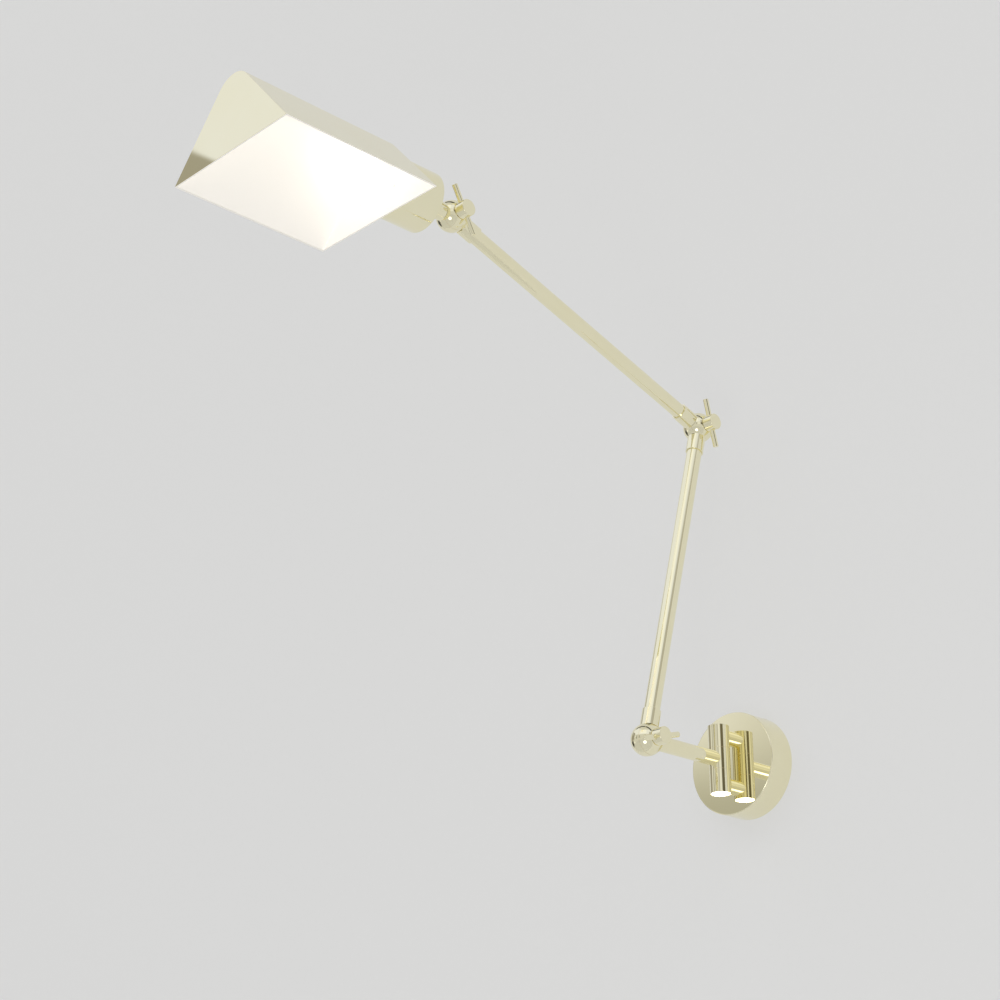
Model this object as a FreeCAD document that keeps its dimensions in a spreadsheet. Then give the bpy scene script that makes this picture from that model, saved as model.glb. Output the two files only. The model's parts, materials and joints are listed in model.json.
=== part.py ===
import FreeCAD, Part
import math
import os
import re
import Sketcher
from FreeCAD import Placement, Rotation, Vector

# Articulating wall lamp in polished brass, millimetres and degrees.
# Frame: +Z up, +Y into the wall, origin on the wall plane at the canopy's centre.
# The lamp reaches out along -Y. All ball knuckles hinge about X, with their clamps on +X.

DRIVING_SIZES = {
    # round canopy against the wall and the steel parts inside it
    "CanopyDiameter": 115.0,
    "CanopyDepth": 34.0,
    "CanopyWall": 2.0,
    "CanopyEdgeRadius": 2.0,
    "MountDiscThickness": 3.0,
    "MountRimDepth": 12.0,
    "MountRimGap": 3.0,
    "WallSlotSpacing": 70.0,
    "WallSlotWidth": 5.0,
    "WallSlotLength": 12.0,
    "CableHoleDiameter": 16.0,
    "CableHoleDrop": 24.0,
    "CanopyScrewDiameter": 4.0,
    "CanopyScrewAngle": 30.0,
    "BackingThickness": 2.5,
    "BackingWidth": 30.0,
    "BackingMargin": 12.0,
    # wiring pieces on the mounting disc
    "TerminalWidth": 26.0,
    "TerminalHeight": 12.0,
    "TerminalDepth": 12.0,
    "TerminalRise": 24.0,
    "TerminalScrewDiameter": 3.0,
    "EarthScrewDiameter": 4.0,
    "EarthScrewHead": 8.0,
    "EarthScrewReach": 24.0,
    # posts, bolts and hinge barrel
    "BarrelDiameter": 23.5,
    "BarrelLength": 76.5,
    "BarrelMiddleLength": 24.0,
    "BarrelStandoff": 20.2,
    "BarrelCapThickness": 1.8,
    "BarrelEdgeRadius": 0.5,
    "ShaftDiameter": 11.0,
    "WireBore": 4.5,
    "ThrustWasherThickness": 0.1,
    "ThrustWasherDiameter": 23.0,
    "PostDiameter": 17.0,
    "PostEndDistance": 10.65,
    "PostSeatDepth": 3.3,
    "BoltDiameter": 6.0,
    "BoltHeadWidth": 10.0,
    "BoltHeadHeight": 4.0,
    "LensDiameter": 21.8,
    "LensThickness": 1.5,
    "LedDiameter": 16.0,
    "LedThickness": 1.2,
    # stem and arms
    "StemLength": 117.0,
    "StemDiameter": 17.0,
    "StemSeatDepth": 5.5,
    "StemNeckLength": 24.0,
    "TubeWall": 1.5,
    "LowerArmLength": 410.0,
    "LowerArmDiameter": 17.5,
    "LowerArmAngle": 75.3,
    "UpperArmLength": 410.0,
    "UpperArmDiameter": 17.0,
    "UpperArmAngle": 161.9,
    # ball knuckles
    "BallDiameter": 35.4,
    "TongueThickness": 8.0,
    "FrictionWasherThickness": 0.15,
    "FrictionWasherDiameter": 34.0,
    "SleeveDiameter": 20.4,
    "SleeveLength": 35.0,
    "SleeveFloor": 23.0,
    "SpigotLength": 12.0,
    "SwingClearance": 0.4,
    # clamp screws with cross bars
    "SpotFaceOffset": 14.9,
    "KnobDiameter": 18.8,
    "KnobFaceOffset": 27.1,
    "KnobEdgeRadius": 0.6,
    "BossDiameter": 12.0,
    "BossDepth": 3.0,
    "ShankDiameter": 6.0,
    "ShankEnd": 13.5,
    "SpringWasherThickness": 0.5,
    "BarDiameter": 6.2,
    "BarLength": 58.0,
    "BarOffset": 19.3,
    "BarEdgeRadius": 0.4,
    "BottomBarAngle": 15.0,
    "ElbowBarAngle": 105.0,
    "TopBarAngle": 119.0,
    # housing behind the shade, with its lampholder and bulb
    "HousingDiameter": 67.6,
    "HousingStart": 40.7,
    "HousingWall": 1.5,
    "HousingBackThickness": 3.0,
    "HousingEdgeRadius": 1.2,
    "HousingFlangeWidth": 8.0,
    "NippleDiameter": 10.0,
    "NippleReach": 12.0,
    "NutWidth": 16.0,
    "NutThickness": 5.0,
    "HolderDiameter": 38.0,
    "HolderLength": 44.0,
    "HolderBase": 9.0,
    "ShellDiameter": 28.4,
    "ShellWall": 0.6,
    "ShellLength": 28.0,
    "ContactDiameter": 9.0,
    "ContactThickness": 1.5,
    "ContactEdgeRadius": 0.3,
    "BulbCapDiameter": 26.4,
    "BulbCapLength": 26.0,
    "BulbDiameter": 45.0,
    "BulbNeckDiameter": 24.0,
    "BulbLength": 60.0,
    "BulbWall": 1.0,
    # tent-shaped shade
    "ShadeStart": 102.0,
    "ShadeLength": 190.0,
    "ShadeWidth": 182.0,
    "ShadeDrop": 45.0,
    "ShadeRise": 45.0,
    "RidgeRadius": 29.0,
    "SheetThickness": 1.0,
    "LinerThickness": 0.5,
    "LinerGap": 0.1,
    "LinerSetback": 0.6,
    "BulbHoleDiameter": 50.0,
    "ShadeScrewCircle": 59.0,
    "ShadeScrewDiameter": 3.0,
    "ShadeScrewHead": 5.6,
    # fits
    "RunningFit": 0.05,
    "LooseFit": 0.3,
}

doc = FreeCAD.newDocument("ArticulatingWallLamp")
sheet = doc.addObject("Spreadsheet::Sheet", "Sizes")
for row, (alias, value) in enumerate(DRIVING_SIZES.items(), start=1):
    sheet.set(f"A{row}", alias)
    sheet.set(f"B{row}", str(value))
    sheet.setAlias(f"B{row}", alias)
doc.recompute()

SIZE_NAME = re.compile(r"\b([A-Z][A-Za-z]+)\b")
X_AXIS = Vector(1, 0, 0)
Z_AXIS = Vector(0, 0, 1)
# turns that point a piece's own Z axis another way
ALONG = {
    "+z": Rotation(),
    "+x": Rotation(Vector(0, 1, 0), 90),
    "-y": Rotation(X_AXIS, 90),
    "+y": Rotation(X_AXIS, -90),
}
subparts = []


def formula(text):
    """Name the sheet before each size in a formula."""
    return SIZE_NAME.sub(r"Sizes.\1", text)


def cell(alias):
    return float(sheet.get(alias))


def bind_position(item, x="0", y="0", z="0"):
    for letter, text in (("x", x), ("y", y), ("z", z)):
        item.setExpression(f"Placement.Base.{letter}", formula(text))


# ---------------------------------------------------------------- primitives and booleans

def primitive(kind, name, sizes, at=("0", "0", "0"), along="+z"):
    item = doc.addObject("Part::" + kind, name)
    for prop, text in sizes.items():
        item.setExpression(prop, formula(text))
    item.Placement = Placement(Vector(), ALONG[along])
    bind_position(item, *at)
    return item


def rod(name, diameter, length, at=("0", "0", "0"), along="+z"):
    sizes = {"Radius": f"({diameter}) / 2", "Height": length}
    return primitive("Cylinder", name, sizes, at, along)


def block(name, width, depth, height, at):
    """Box centred across X and Y, standing on its own base point."""
    sizes = {"Length": width, "Width": depth, "Height": height}
    x, y, z = at
    corner = (f"{x} - ({width}) / 2", f"{y} - ({depth}) / 2", z)
    return primitive("Box", name, sizes, corner)


def ball(name, diameter):
    return primitive("Sphere", name, {"Radius": f"({diameter}) / 2"})


def hexagon(name, across_flats, length, at=("0", "0", "0"), along="+z"):
    sizes = {"Circumradius": f"({across_flats}) / sqrt(3)", "Height": length}
    item = primitive("Prism", name, sizes, at, along)
    item.Polygon = 6
    return item


def joined(name, *items):
    if len(items) == 1:
        return items[0]
    fused = doc.addObject("Part::MultiFuse", name)
    fused.Shapes = list(items)
    return fused


def cut(name, base, *tools):
    item = doc.addObject("Part::Cut", name)
    item.Base = base
    item.Tool = joined(name + "_tools", *tools)
    return item


def common(name, first, second):
    item = doc.addObject("Part::Common", name)
    item.Base = first
    item.Tool = second
    return item


def rounded(name, base, radius, wanted):
    """Fillet the circular edges of the base that the test accepts."""
    doc.recompute()
    item = doc.addObject("Part::Fillet", name)
    item.Base = base
    size = cell(radius)
    edges = []
    for number, edge in enumerate(base.Shape.Edges, start=1):
        if isinstance(edge.Curve, Part.Circle) and wanted(edge.Curve):
            edges.append((number, size, size))
    item.Edges = edges
    return item


def near(first, second):
    return abs(first - second) < 0.01


def piece(item, label):
    """Register a finished sub-part under its node name."""
    item.Label = label
    subparts.append(item)
    return item


def hang(item, hinge, angle):
    """Put a piece, drawn with its hinge at its origin and its arm along Z, on the lamp."""
    item.Placement = Placement(Vector(), Rotation(X_AXIS, 45))
    for letter, number in (("x", 1), ("y", 0), ("z", 0)):
        item.setExpression(f"Placement.Rotation.Axis.{letter}", str(number))
    item.setExpression("Placement.Rotation.Angle", formula(f"{angle} - 90"))
    bind_position(item, *hinge)


# ---------------------------------------------------------------- sketched bodies

def origin_plane(body, role):
    return next(item for item in body.Origin.OriginFeatures if item.Role == role)


def new_body(name):
    body = doc.addObject("PartDesign::Body", name)
    doc.recompute()
    return body


def new_sketch(body, name, role):
    sketch = body.newObject("Sketcher::SketchObject", name)
    sketch.AttachmentSupport = (origin_plane(body, role), [""])
    sketch.MapMode = "FlatFace"
    return sketch


def pin_point(sketch, edge, end, across, along):
    """Hold one end of an edge at a place given by two formulas."""
    for kind, text in (("DistanceX", across), ("DistanceY", along)):
        index = sketch.addConstraint(Sketcher.Constraint(kind, -1, 1, edge, end, 1.0))
        sketch.setExpression(f"Constraints[{index}]", formula(text))


def outline(sketch, corners):
    """Closed straight-sided outline whose corners are pairs of formulas."""
    count = len(corners)
    first = sketch.GeometryCount
    ring = []
    for index in range(count):
        angle = 2 * math.pi * index / count
        ring.append(Vector(50 + 10 * math.cos(angle), 50 + 10 * math.sin(angle), 0))
    for index in range(count):
        sketch.addGeometry(Part.LineSegment(ring[index], ring[(index + 1) % count]), False)
    for index in range(count):
        following = first + (index + 1) % count
        sketch.addConstraint(Sketcher.Constraint("Coincident", first + index, 2, following, 1))
    for index, (across, along) in enumerate(corners):
        pin_point(sketch, first + index, 1, across, along)


def circle(sketch, diameter, across="0", along="0"):
    edge = sketch.addGeometry(Part.Circle(Vector(1, 1, 0), Z_AXIS, 5.0), False)
    pin_point(sketch, edge, 3, across, along)
    index = sketch.addConstraint(Sketcher.Constraint("Radius", edge, 5.0))
    sketch.setExpression(f"Constraints[{index}]", formula(f"({diameter}) / 2"))


def turned(body, name, corners):
    """Revolve an outline of (radius, height) pairs about the body's Z axis."""
    sketch = new_sketch(body, name + "_profile", "XZ_Plane")
    outline(sketch, corners)
    solid = body.newObject("PartDesign::Revolution", name)
    solid.Profile = sketch
    solid.ReferenceAxis = (sketch, ["V_Axis"])
    solid.Angle = 360
    doc.recompute()
    return solid


def pad(body, name, sketch, length):
    solid = body.newObject("PartDesign::Pad", name)
    solid.Profile = sketch
    solid.setExpression("Length", formula(length))
    doc.recompute()
    return solid


def pocket(body, name, sketch, length):
    """Cut a sketch along the body's +Z, and make sure that it removed something."""
    before = body.Shape.Volume
    hole = body.newObject("PartDesign::Pocket", name)
    hole.Profile = sketch
    hole.setExpression("Length", formula(length))
    hole.Reversed = True
    doc.recompute()
    if not body.Shape.Volume < before:
        raise RuntimeError(name + " cut nothing")
    return hole


def round_edges(body, name, radius, wanted):
    base = body.Tip
    names = []
    for number, edge in enumerate(base.Shape.Edges, start=1):
        if isinstance(edge.Curve, Part.Circle) and wanted(edge.Curve):
            names.append(f"Edge{number}")
    soft = body.newObject("PartDesign::Fillet", name)
    soft.Base = (base, names)
    soft.setExpression("Radius", formula(radius))
    doc.recompute()
    return soft


# ---------------------------------------------------------------- places on the lamp

BARREL_Y = "-(CanopyDepth + BarrelStandoff)"
BOTTOM_Y = "-(CanopyDepth + BarrelStandoff + StemLength)"
ELBOW_Y = f"{BOTTOM_Y} + LowerArmLength * cos(LowerArmAngle)"
ELBOW_Z = "LowerArmLength * sin(LowerArmAngle)"
TOP_Y = f"{ELBOW_Y} + UpperArmLength * cos(UpperArmAngle)"
TOP_Z = f"{ELBOW_Z} + UpperArmLength * sin(UpperArmAngle)"
BOTTOM = ("0", BOTTOM_Y, "0")
ELBOW = ("0", ELBOW_Y, ELBOW_Z)
TOP = ("0", TOP_Y, TOP_Z)
STEM_ANGLE = "0"
HEAD_ANGLE = "180"
POST_RISE = "(BarrelLength / 2 - PostEndDistance)"


# ---------------------------------------------------------------- canopy and what it hides

def make_canopy():
    body = new_body("Canopy")
    turned(body, "CanopyCup", [
        ("0", "CanopyDepth"),
        ("CanopyDiameter / 2", "CanopyDepth"),
        ("CanopyDiameter / 2", "0"),
        ("CanopyDiameter / 2 - CanopyWall", "0"),
        ("CanopyDiameter / 2 - CanopyWall", "CanopyDepth - CanopyWall"),
        ("0", "CanopyDepth - CanopyWall"),
    ])
    rim, face = cell("CanopyDiameter") / 2, cell("CanopyDepth")
    round_edges(body, "CanopyEdge", "CanopyEdgeRadius",
                lambda curve: near(curve.Radius, rim) and near(curve.Center.z, face))
    bolt_holes = new_sketch(body, "CanopyBoltHoles", "XY_Plane")
    for side in ("", "-"):
        circle(bolt_holes, "BoltDiameter + 2 * LooseFit", "0", f"{side}{POST_RISE}")
    pocket(body, "CanopyBoltBores", bolt_holes, "CanopyDepth + 1")
    body.Placement = Placement(Vector(), ALONG["-y"])
    drills = [grub_screw(side, "CanopyScrewHole", "CanopyScrewDiameter + 2 * RunningFit",
                         "CanopyDiameter / 2 + 1") for side in (1, -1)]
    piece(cut("CanopyDrilled", body, *drills), "canopy")


def grub_screw(side, name, diameter, reach):
    """Radial rod from the mounting disc's rim outwards, above the canopy's centre."""
    item = doc.addObject("Part::Cylinder", f"{name}{'Right' if side > 0 else 'Left'}")
    item.setExpression("Radius", formula(f"({diameter}) / 2"))
    rim = "(CanopyDiameter / 2 - CanopyWall - MountRimGap)"
    item.setExpression("Height", formula(f"{reach} - {rim}"))
    item.Placement = Placement(Vector(), Rotation(Vector(0, 1, 0), 30))
    for letter, number in (("x", 0), ("y", side), ("z", 0)):
        item.setExpression(f"Placement.Rotation.Axis.{letter}", str(number))
    item.setExpression("Placement.Rotation.Angle", formula("CanopyScrewAngle"))
    bind_position(item, f"{side} * {rim} * sin(CanopyScrewAngle)",
                  "-(MountDiscThickness + MountRimDepth) / 2",
                  f"{rim} * cos(CanopyScrewAngle)")
    return item


def make_canopy_screws():
    screws = [grub_screw(side, "CanopyScrew", "CanopyScrewDiameter",
                         "CanopyDiameter / 2 - LooseFit") for side in (1, -1)]
    piece(joined("CanopyScrews", *screws), "canopy_screws")


def make_mount_disc():
    body = new_body("MountDisc")
    rim = "CanopyDiameter / 2 - CanopyWall - MountRimGap"
    turned(body, "MountDish", [
        ("0", "0"),
        (rim, "0"),
        (rim, "MountRimDepth"),
        (f"{rim} - MountDiscThickness", "MountRimDepth"),
        (f"{rim} - MountDiscThickness", "MountDiscThickness"),
        ("0", "MountDiscThickness"),
    ])
    holes = new_sketch(body, "MountHoles", "XY_Plane")
    circle(holes, "CableHoleDiameter", "0", "-CableHoleDrop")
    circle(holes, "EarthScrewDiameter + 2 * RunningFit", "EarthScrewReach",
           "-CableHoleDrop / 2")
    pocket(body, "CableHole", holes, "MountDiscThickness + 1")
    body.Placement = Placement(Vector(), ALONG["-y"])
    slots = wall_slot(1, "Right") + wall_slot(-1, "Left")
    piece(cut("MountDiscSlotted", body, *slots), "mount_disc")


def wall_slot(side, label):
    """Tools that cut a round-ended slot along X, centred at half the slot spacing."""
    depth = "MountDiscThickness + 2"
    middle = f"{side} * WallSlotSpacing / 2"
    straight = "(WallSlotLength - WallSlotWidth)"
    tools = [block("WallSlot" + label, straight, depth, "WallSlotWidth",
                   (middle, "-MountDiscThickness / 2", "-WallSlotWidth / 2"))]
    for number, end in enumerate((1, -1), start=1):
        tools.append(rod(f"WallSlotEnd{label}{number}", "WallSlotWidth", depth,
                         (f"{middle} + {end} * {straight} / 2", "1", "0"), "-y"))
    return tools


def make_backing_plate():
    plate = block("BackingSheet", "BackingWidth", "BackingThickness",
                  f"2 * {POST_RISE} + 2 * BackingMargin",
                  ("0", "-(CanopyDepth - CanopyWall - BackingThickness / 2)",
                   f"-({POST_RISE} + BackingMargin)"))
    holes = [rod(f"BackingHole{number}", "BoltDiameter + 2 * LooseFit", "BackingThickness + 2",
                 ("0", "-(CanopyDepth - CanopyWall - BackingThickness - 1)", height), "-y")
             for number, height in enumerate((POST_RISE, "-" + POST_RISE), start=1)]
    piece(cut("BackingPlate", plate, *holes), "backing_plate")


def make_terminals():
    seat = "-(MountDiscThickness + TerminalDepth / 2)"
    body = block("TerminalBody", "TerminalWidth", "TerminalDepth", "TerminalHeight",
                 ("0", seat, "TerminalRise"))
    bores = []
    screws = []
    for number, step in enumerate((-1, 0, 1), start=1):
        across = f"{step} * TerminalWidth / 3"
        front = "-(MountDiscThickness + TerminalDepth)"
        height = "TerminalRise + TerminalHeight / 2"
        bores.append(rod(f"WireHole{number}", "TerminalScrewDiameter", "TerminalHeight + 2",
                         (across, f"{seat} + 1", "TerminalRise - 1")))
        bores.append(rod(f"TerminalScrewHole{number}", "TerminalScrewDiameter + 2 * RunningFit",
                         "TerminalDepth / 2", (across, front, height), "+y"))
        screws.append(rod(f"TerminalScrew{number}", "TerminalScrewDiameter",
                          "TerminalDepth / 2 - TerminalScrewDiameter / 2",
                          (across, front, height), "+y"))
    piece(cut("TerminalBlock", body, *bores), "terminal_block")
    piece(joined("TerminalScrews", *screws), "terminal_screws")
    at = ("EarthScrewReach", "-MountDiscThickness", "-CableHoleDrop / 2")
    head = rod("EarthScrewCap", "EarthScrewHead", "EarthScrewDiameter * 0.7", at, "-y")
    shank = rod("EarthScrewShank", "EarthScrewDiameter", "MountDiscThickness - LooseFit", at, "+y")
    slot = block("EarthScrewSlot", "EarthScrewHead + 2", "1", "EarthScrewDiameter * 0.3",
                 (at[0], "-(MountDiscThickness + EarthScrewDiameter * 0.7)",
                  "-CableHoleDrop / 2 - EarthScrewDiameter * 0.15"))
    piece(cut("EarthScrew", joined("EarthScrewSolid", head, shank), slot), "earth_screw")


# ---------------------------------------------------------------- posts and hinge barrel

def post_height(side):
    return f"{side} * {POST_RISE}"


def make_post(side, label):
    seat = "BarrelDiameter / 2 - PostSeatDepth"
    at = ("0", "-CanopyDepth", post_height(side))
    body = rod("Post" + label, "PostDiameter", f"BarrelStandoff - ({seat})", at, "-y")
    bore = rod("PostBore" + label, "BoltDiameter + 2 * LooseFit", "BarrelStandoff", at, "-y")
    piece(cut("PostSpacer" + label, body, bore), "post_" + label.lower())


def make_post_bolts():
    shoulder = "-(CanopyDepth - CanopyWall - BackingThickness)"
    length = "BarrelStandoff + CanopyWall + BackingThickness - WireBore / 2 - LooseFit"
    bolts = []
    for side, label in ((1, "Upper"), (-1, "Lower")):
        height = post_height(side)
        shank = rod("BoltShank" + label, "BoltDiameter", length, ("0", shoulder, height), "-y")
        head = hexagon("BoltHead" + label, "BoltHeadWidth", "BoltHeadHeight",
                       ("0", shoulder, height), "+y")
        bore = rod("BoltBore" + label, "BoltDiameter / 2", f"{length} + BoltHeadHeight + 2",
                   ("0", f"{shoulder} + BoltHeadHeight + 1", height), "-y")
        bolts.append(cut("Bolt" + label, joined("BoltSolid" + label, shank, head), bore))
    piece(joined("PostBolts", *bolts), "post_bolts")


def barrel_bore(name):
    return rod(name, "ShaftDiameter + 2 * RunningFit", "BarrelLength + 2",
               ("0", BARREL_Y, "-BarrelLength / 2 - 1"))


def post_seat(side, label):
    """Flat-bottomed seat for the post and the bolt's hole beyond it."""
    seat = "BarrelDiameter / 2 - PostSeatDepth"
    height = post_height(side)
    pocket_rod = rod("PostSeat" + label, "PostDiameter + 2 * RunningFit", "BarrelDiameter",
                     ("0", f"{BARREL_Y} + {seat}", height), "+y")
    bolt_way = rod("BoltWay" + label, "BoltDiameter + 2 * RunningFit", "BarrelDiameter",
                   ("0", BARREL_Y, height), "+y")
    return pocket_rod, bolt_way


def make_barrel_ends():
    gap = "BarrelMiddleLength / 2 + ThrustWasherThickness"
    top = "BarrelLength / 2 - BarrelCapThickness"
    upper = rod("BarrelUpperSolid", "BarrelDiameter", f"{top} - ({gap})", ("0", BARREL_Y, gap))
    piece(cut("BarrelUpper", upper, barrel_bore("UpperBore"), *post_seat(1, "UpperSeat")),
          "barrel_upper")
    bottom = "-BarrelLength / 2"
    lower = rod("BarrelLowerSolid", "BarrelDiameter", f"BarrelLength / 2 - ({gap})",
                ("0", BARREL_Y, bottom))
    lens_room = rod("LensRoom", "LensDiameter + 2 * RunningFit", "LensThickness",
                    ("0", BARREL_Y, bottom))
    led_room = rod("LedRoom", "LedDiameter + 2 * LooseFit", "LensThickness + LedThickness",
                   ("0", BARREL_Y, bottom))
    piece(cut("BarrelLower", lower, barrel_bore("LowerBore"), lens_room, led_room,
              *post_seat(-1, "LowerSeat")), "barrel_lower")


def make_barrel_trim():
    top = "BarrelLength / 2 - BarrelCapThickness"
    bottom = "-BarrelLength / 2"
    cap = rod("BarrelCapSolid", "BarrelDiameter", "BarrelCapThickness", ("0", BARREL_Y, top))
    rim, height = cell("BarrelDiameter") / 2, cell("BarrelLength") / 2
    soft = rounded("BarrelCapEdge", cap, "BarrelEdgeRadius",
                   lambda curve: near(curve.Radius, rim) and near(curve.Center.z, height))
    piece(soft, "barrel_cap")
    piece(rod("FootLens", "LensDiameter", "LensThickness", ("0", BARREL_Y, bottom)), "foot_lens")
    piece(rod("FootLed", "LedDiameter", "LedThickness",
              ("0", BARREL_Y, f"{bottom} + LensThickness")), "foot_led")


def make_hinge_shaft():
    top = "BarrelLength / 2 - BarrelCapThickness"
    bottom = "-BarrelLength / 2 + LensThickness + LedThickness"
    solid = rod("ShaftSolid", "ShaftDiameter", f"{top} - ({bottom})", ("0", BARREL_Y, bottom))
    tools = [rod("ShaftWireBore", "WireBore", "BarrelLength", ("0", BARREL_Y, bottom)),
             rod("ShaftWireWay", "WireBore", "ShaftDiameter", ("0", BARREL_Y, "0"), "-y")]
    for side, label in ((1, "Upper"), (-1, "Lower")):
        tools.append(rod("ShaftBoltWay" + label, "BoltDiameter + 2 * RunningFit",
                         "ShaftDiameter", ("0", BARREL_Y, post_height(side)), "+y"))
    piece(cut("HingeShaft", solid, *tools), "hinge_shaft")


def make_barrel_washers():
    rings = []
    levels = ("BarrelMiddleLength / 2", "-BarrelMiddleLength / 2 - ThrustWasherThickness")
    for label, level in zip(("Upper", "Lower"), levels):
        disc = rod("ThrustDisc" + label, "ThrustWasherDiameter", "ThrustWasherThickness",
                   ("0", BARREL_Y, level))
        rings.append(cut("ThrustWasher" + label, disc, barrel_bore("ThrustBore" + label)))
    piece(joined("BarrelWashers", *rings), "barrel_washers")


# ---------------------------------------------------------------- turning stem

def make_barrel_middle():
    solid = rod("BarrelMiddleSolid", "BarrelDiameter", "BarrelMiddleLength",
                ("0", BARREL_Y, "-BarrelMiddleLength / 2"))
    seat = rod("StemSeat", "StemDiameter + 2 * RunningFit", "BarrelDiameter",
               ("0", f"{BARREL_Y} - (BarrelDiameter / 2 - StemSeatDepth)", "0"), "-y")
    wire_way = rod("StemWireWay", "WireBore", "BarrelDiameter", ("0", BARREL_Y, "0"), "-y")
    piece(cut("BarrelMiddle", solid, barrel_bore("MiddleBore"), seat, wire_way),
          "barrel_middle")


def tube(name, diameter, length, start):
    outer = rod(name + "Outside", diameter, length, ("0", "0", start))
    inner = rod(name + "Inside", f"{diameter} - 2 * TubeWall", f"{length} + 2",
                ("0", "0", f"{start} - 1"))
    return cut(name, outer, inner)


def spigot(name, tube_diameter, start):
    """Plug of a cast end that fills the tube's bore."""
    return rod(name, f"{tube_diameter} - 2 * (TubeWall + RunningFit)", "SpigotLength + 1",
               ("0", "0", f"{start} - 1"))


# ---------------------------------------------------------------- ball knuckles

def slot_width():
    return "(TongueThickness + 2 * FrictionWasherThickness)"


def fork(name, shoulder):
    """Slotted ball on a neck: the tongue turns in the slot and the clamp goes through it."""
    slot = rod(name + "Slot", "BallDiameter + 2 * SwingClearance", slot_width(),
               (f"-{slot_width()} / 2", "0", "0"), "+x")
    spot = rod(name + "SpotFace", "BallDiameter", "BallDiameter", ("SpotFaceOffset", "0", "0"),
               "+x")
    boss_room = rod(name + "BossRoom", "BossDiameter + 2 * LooseFit", "BallDiameter",
                    ("SpotFaceOffset - BossDepth", "0", "0"), "+x")
    shank_way = rod(name + "ShankWay", "ShankDiameter + 2 * RunningFit",
                    "SpotFaceOffset + ShankEnd + LooseFit", ("-ShankEnd - LooseFit", "0", "0"),
                    "+x")
    solid = joined(name + "Solid", ball(name + "Ball", "BallDiameter"), *shoulder)
    return cut(name, solid, slot, spot, boss_room, shank_way)


def sleeve_parts(name, tube_diameter):
    """Sleeve beyond the ball: a wall around the tube's end and a spigot inside it."""
    outside = rod(name + "Sleeve", "SleeveDiameter", "SleeveLength")
    socket_wall = rod(name + "Socket", f"{tube_diameter} + 2 * RunningFit", "SleeveLength",
                      ("0", "0", "SleeveFloor"))
    core = spigot(name + "Spigot", tube_diameter, "SleeveFloor")
    return joined(name + "Cup", cut(name + "Cupped", outside, socket_wall), core)


def tongue(name, beyond):
    """Flat round tongue that fills the ball's slot, with what it carries beyond the ball."""
    slab = rod(name + "Slab", "BallDiameter * 2", "TongueThickness",
               ("-TongueThickness / 2", "0", "0"), "+x")
    eye = common(name + "Eye", ball(name + "Ball", "BallDiameter"), slab)
    web_rod = rod(name + "WebRod", "SleeveDiameter", "SleeveFloor - LooseFit")
    web_slab = rod(name + "WebSlab", "BallDiameter * 2", "TongueThickness",
                   ("-TongueThickness / 2", "0", "0"), "+x")
    web = common(name + "Web", web_rod, web_slab)
    swing_room = ball(name + "SwingRoom", "BallDiameter + 2 * SwingClearance")
    clear = cut(name + "Clear", beyond, swing_room)
    shank_way = rod(name + "ShankWay", "ShankDiameter + 2 * RunningFit", "BallDiameter",
                    ("-BallDiameter / 2", "0", "0"), "+x")
    return cut(name, joined(name + "Solid", eye, web, clear), shank_way)


def make_stem():
    neck = rod("StemNeck", "StemDiameter", "StemNeckLength")
    ball_piece = fork("StemBall", [neck, spigot("StemSpigot", "StemDiameter",
                                                "StemNeckLength")])
    hang(ball_piece, BOTTOM, STEM_ANGLE)
    piece(ball_piece, "stem_ball")
    reach = "StemLength - (BarrelDiameter / 2 - StemSeatDepth) - StemNeckLength"
    pipe = tube("StemTube", "StemDiameter", reach, "StemNeckLength")
    hang(pipe, BOTTOM, STEM_ANGLE)
    piece(pipe, "stem_tube")


def make_arm(title, lower_hinge, upper_hinge, length, angle, diameter):
    label = title.lower()
    foot = tongue(title + "Foot", sleeve_parts(title + "Foot", diameter))
    hang(foot, lower_hinge, angle)
    piece(foot, label + "_foot")
    pipe = tube(title + "Tube", diameter, f"{length} - 2 * SleeveFloor", "SleeveFloor")
    hang(pipe, lower_hinge, angle)
    piece(pipe, label + "_tube")
    head = fork(title + "Head", [sleeve_parts(title + "Head", diameter)])
    hang(head, upper_hinge, f"{angle} + 180")
    piece(head, label + "_head")


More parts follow.
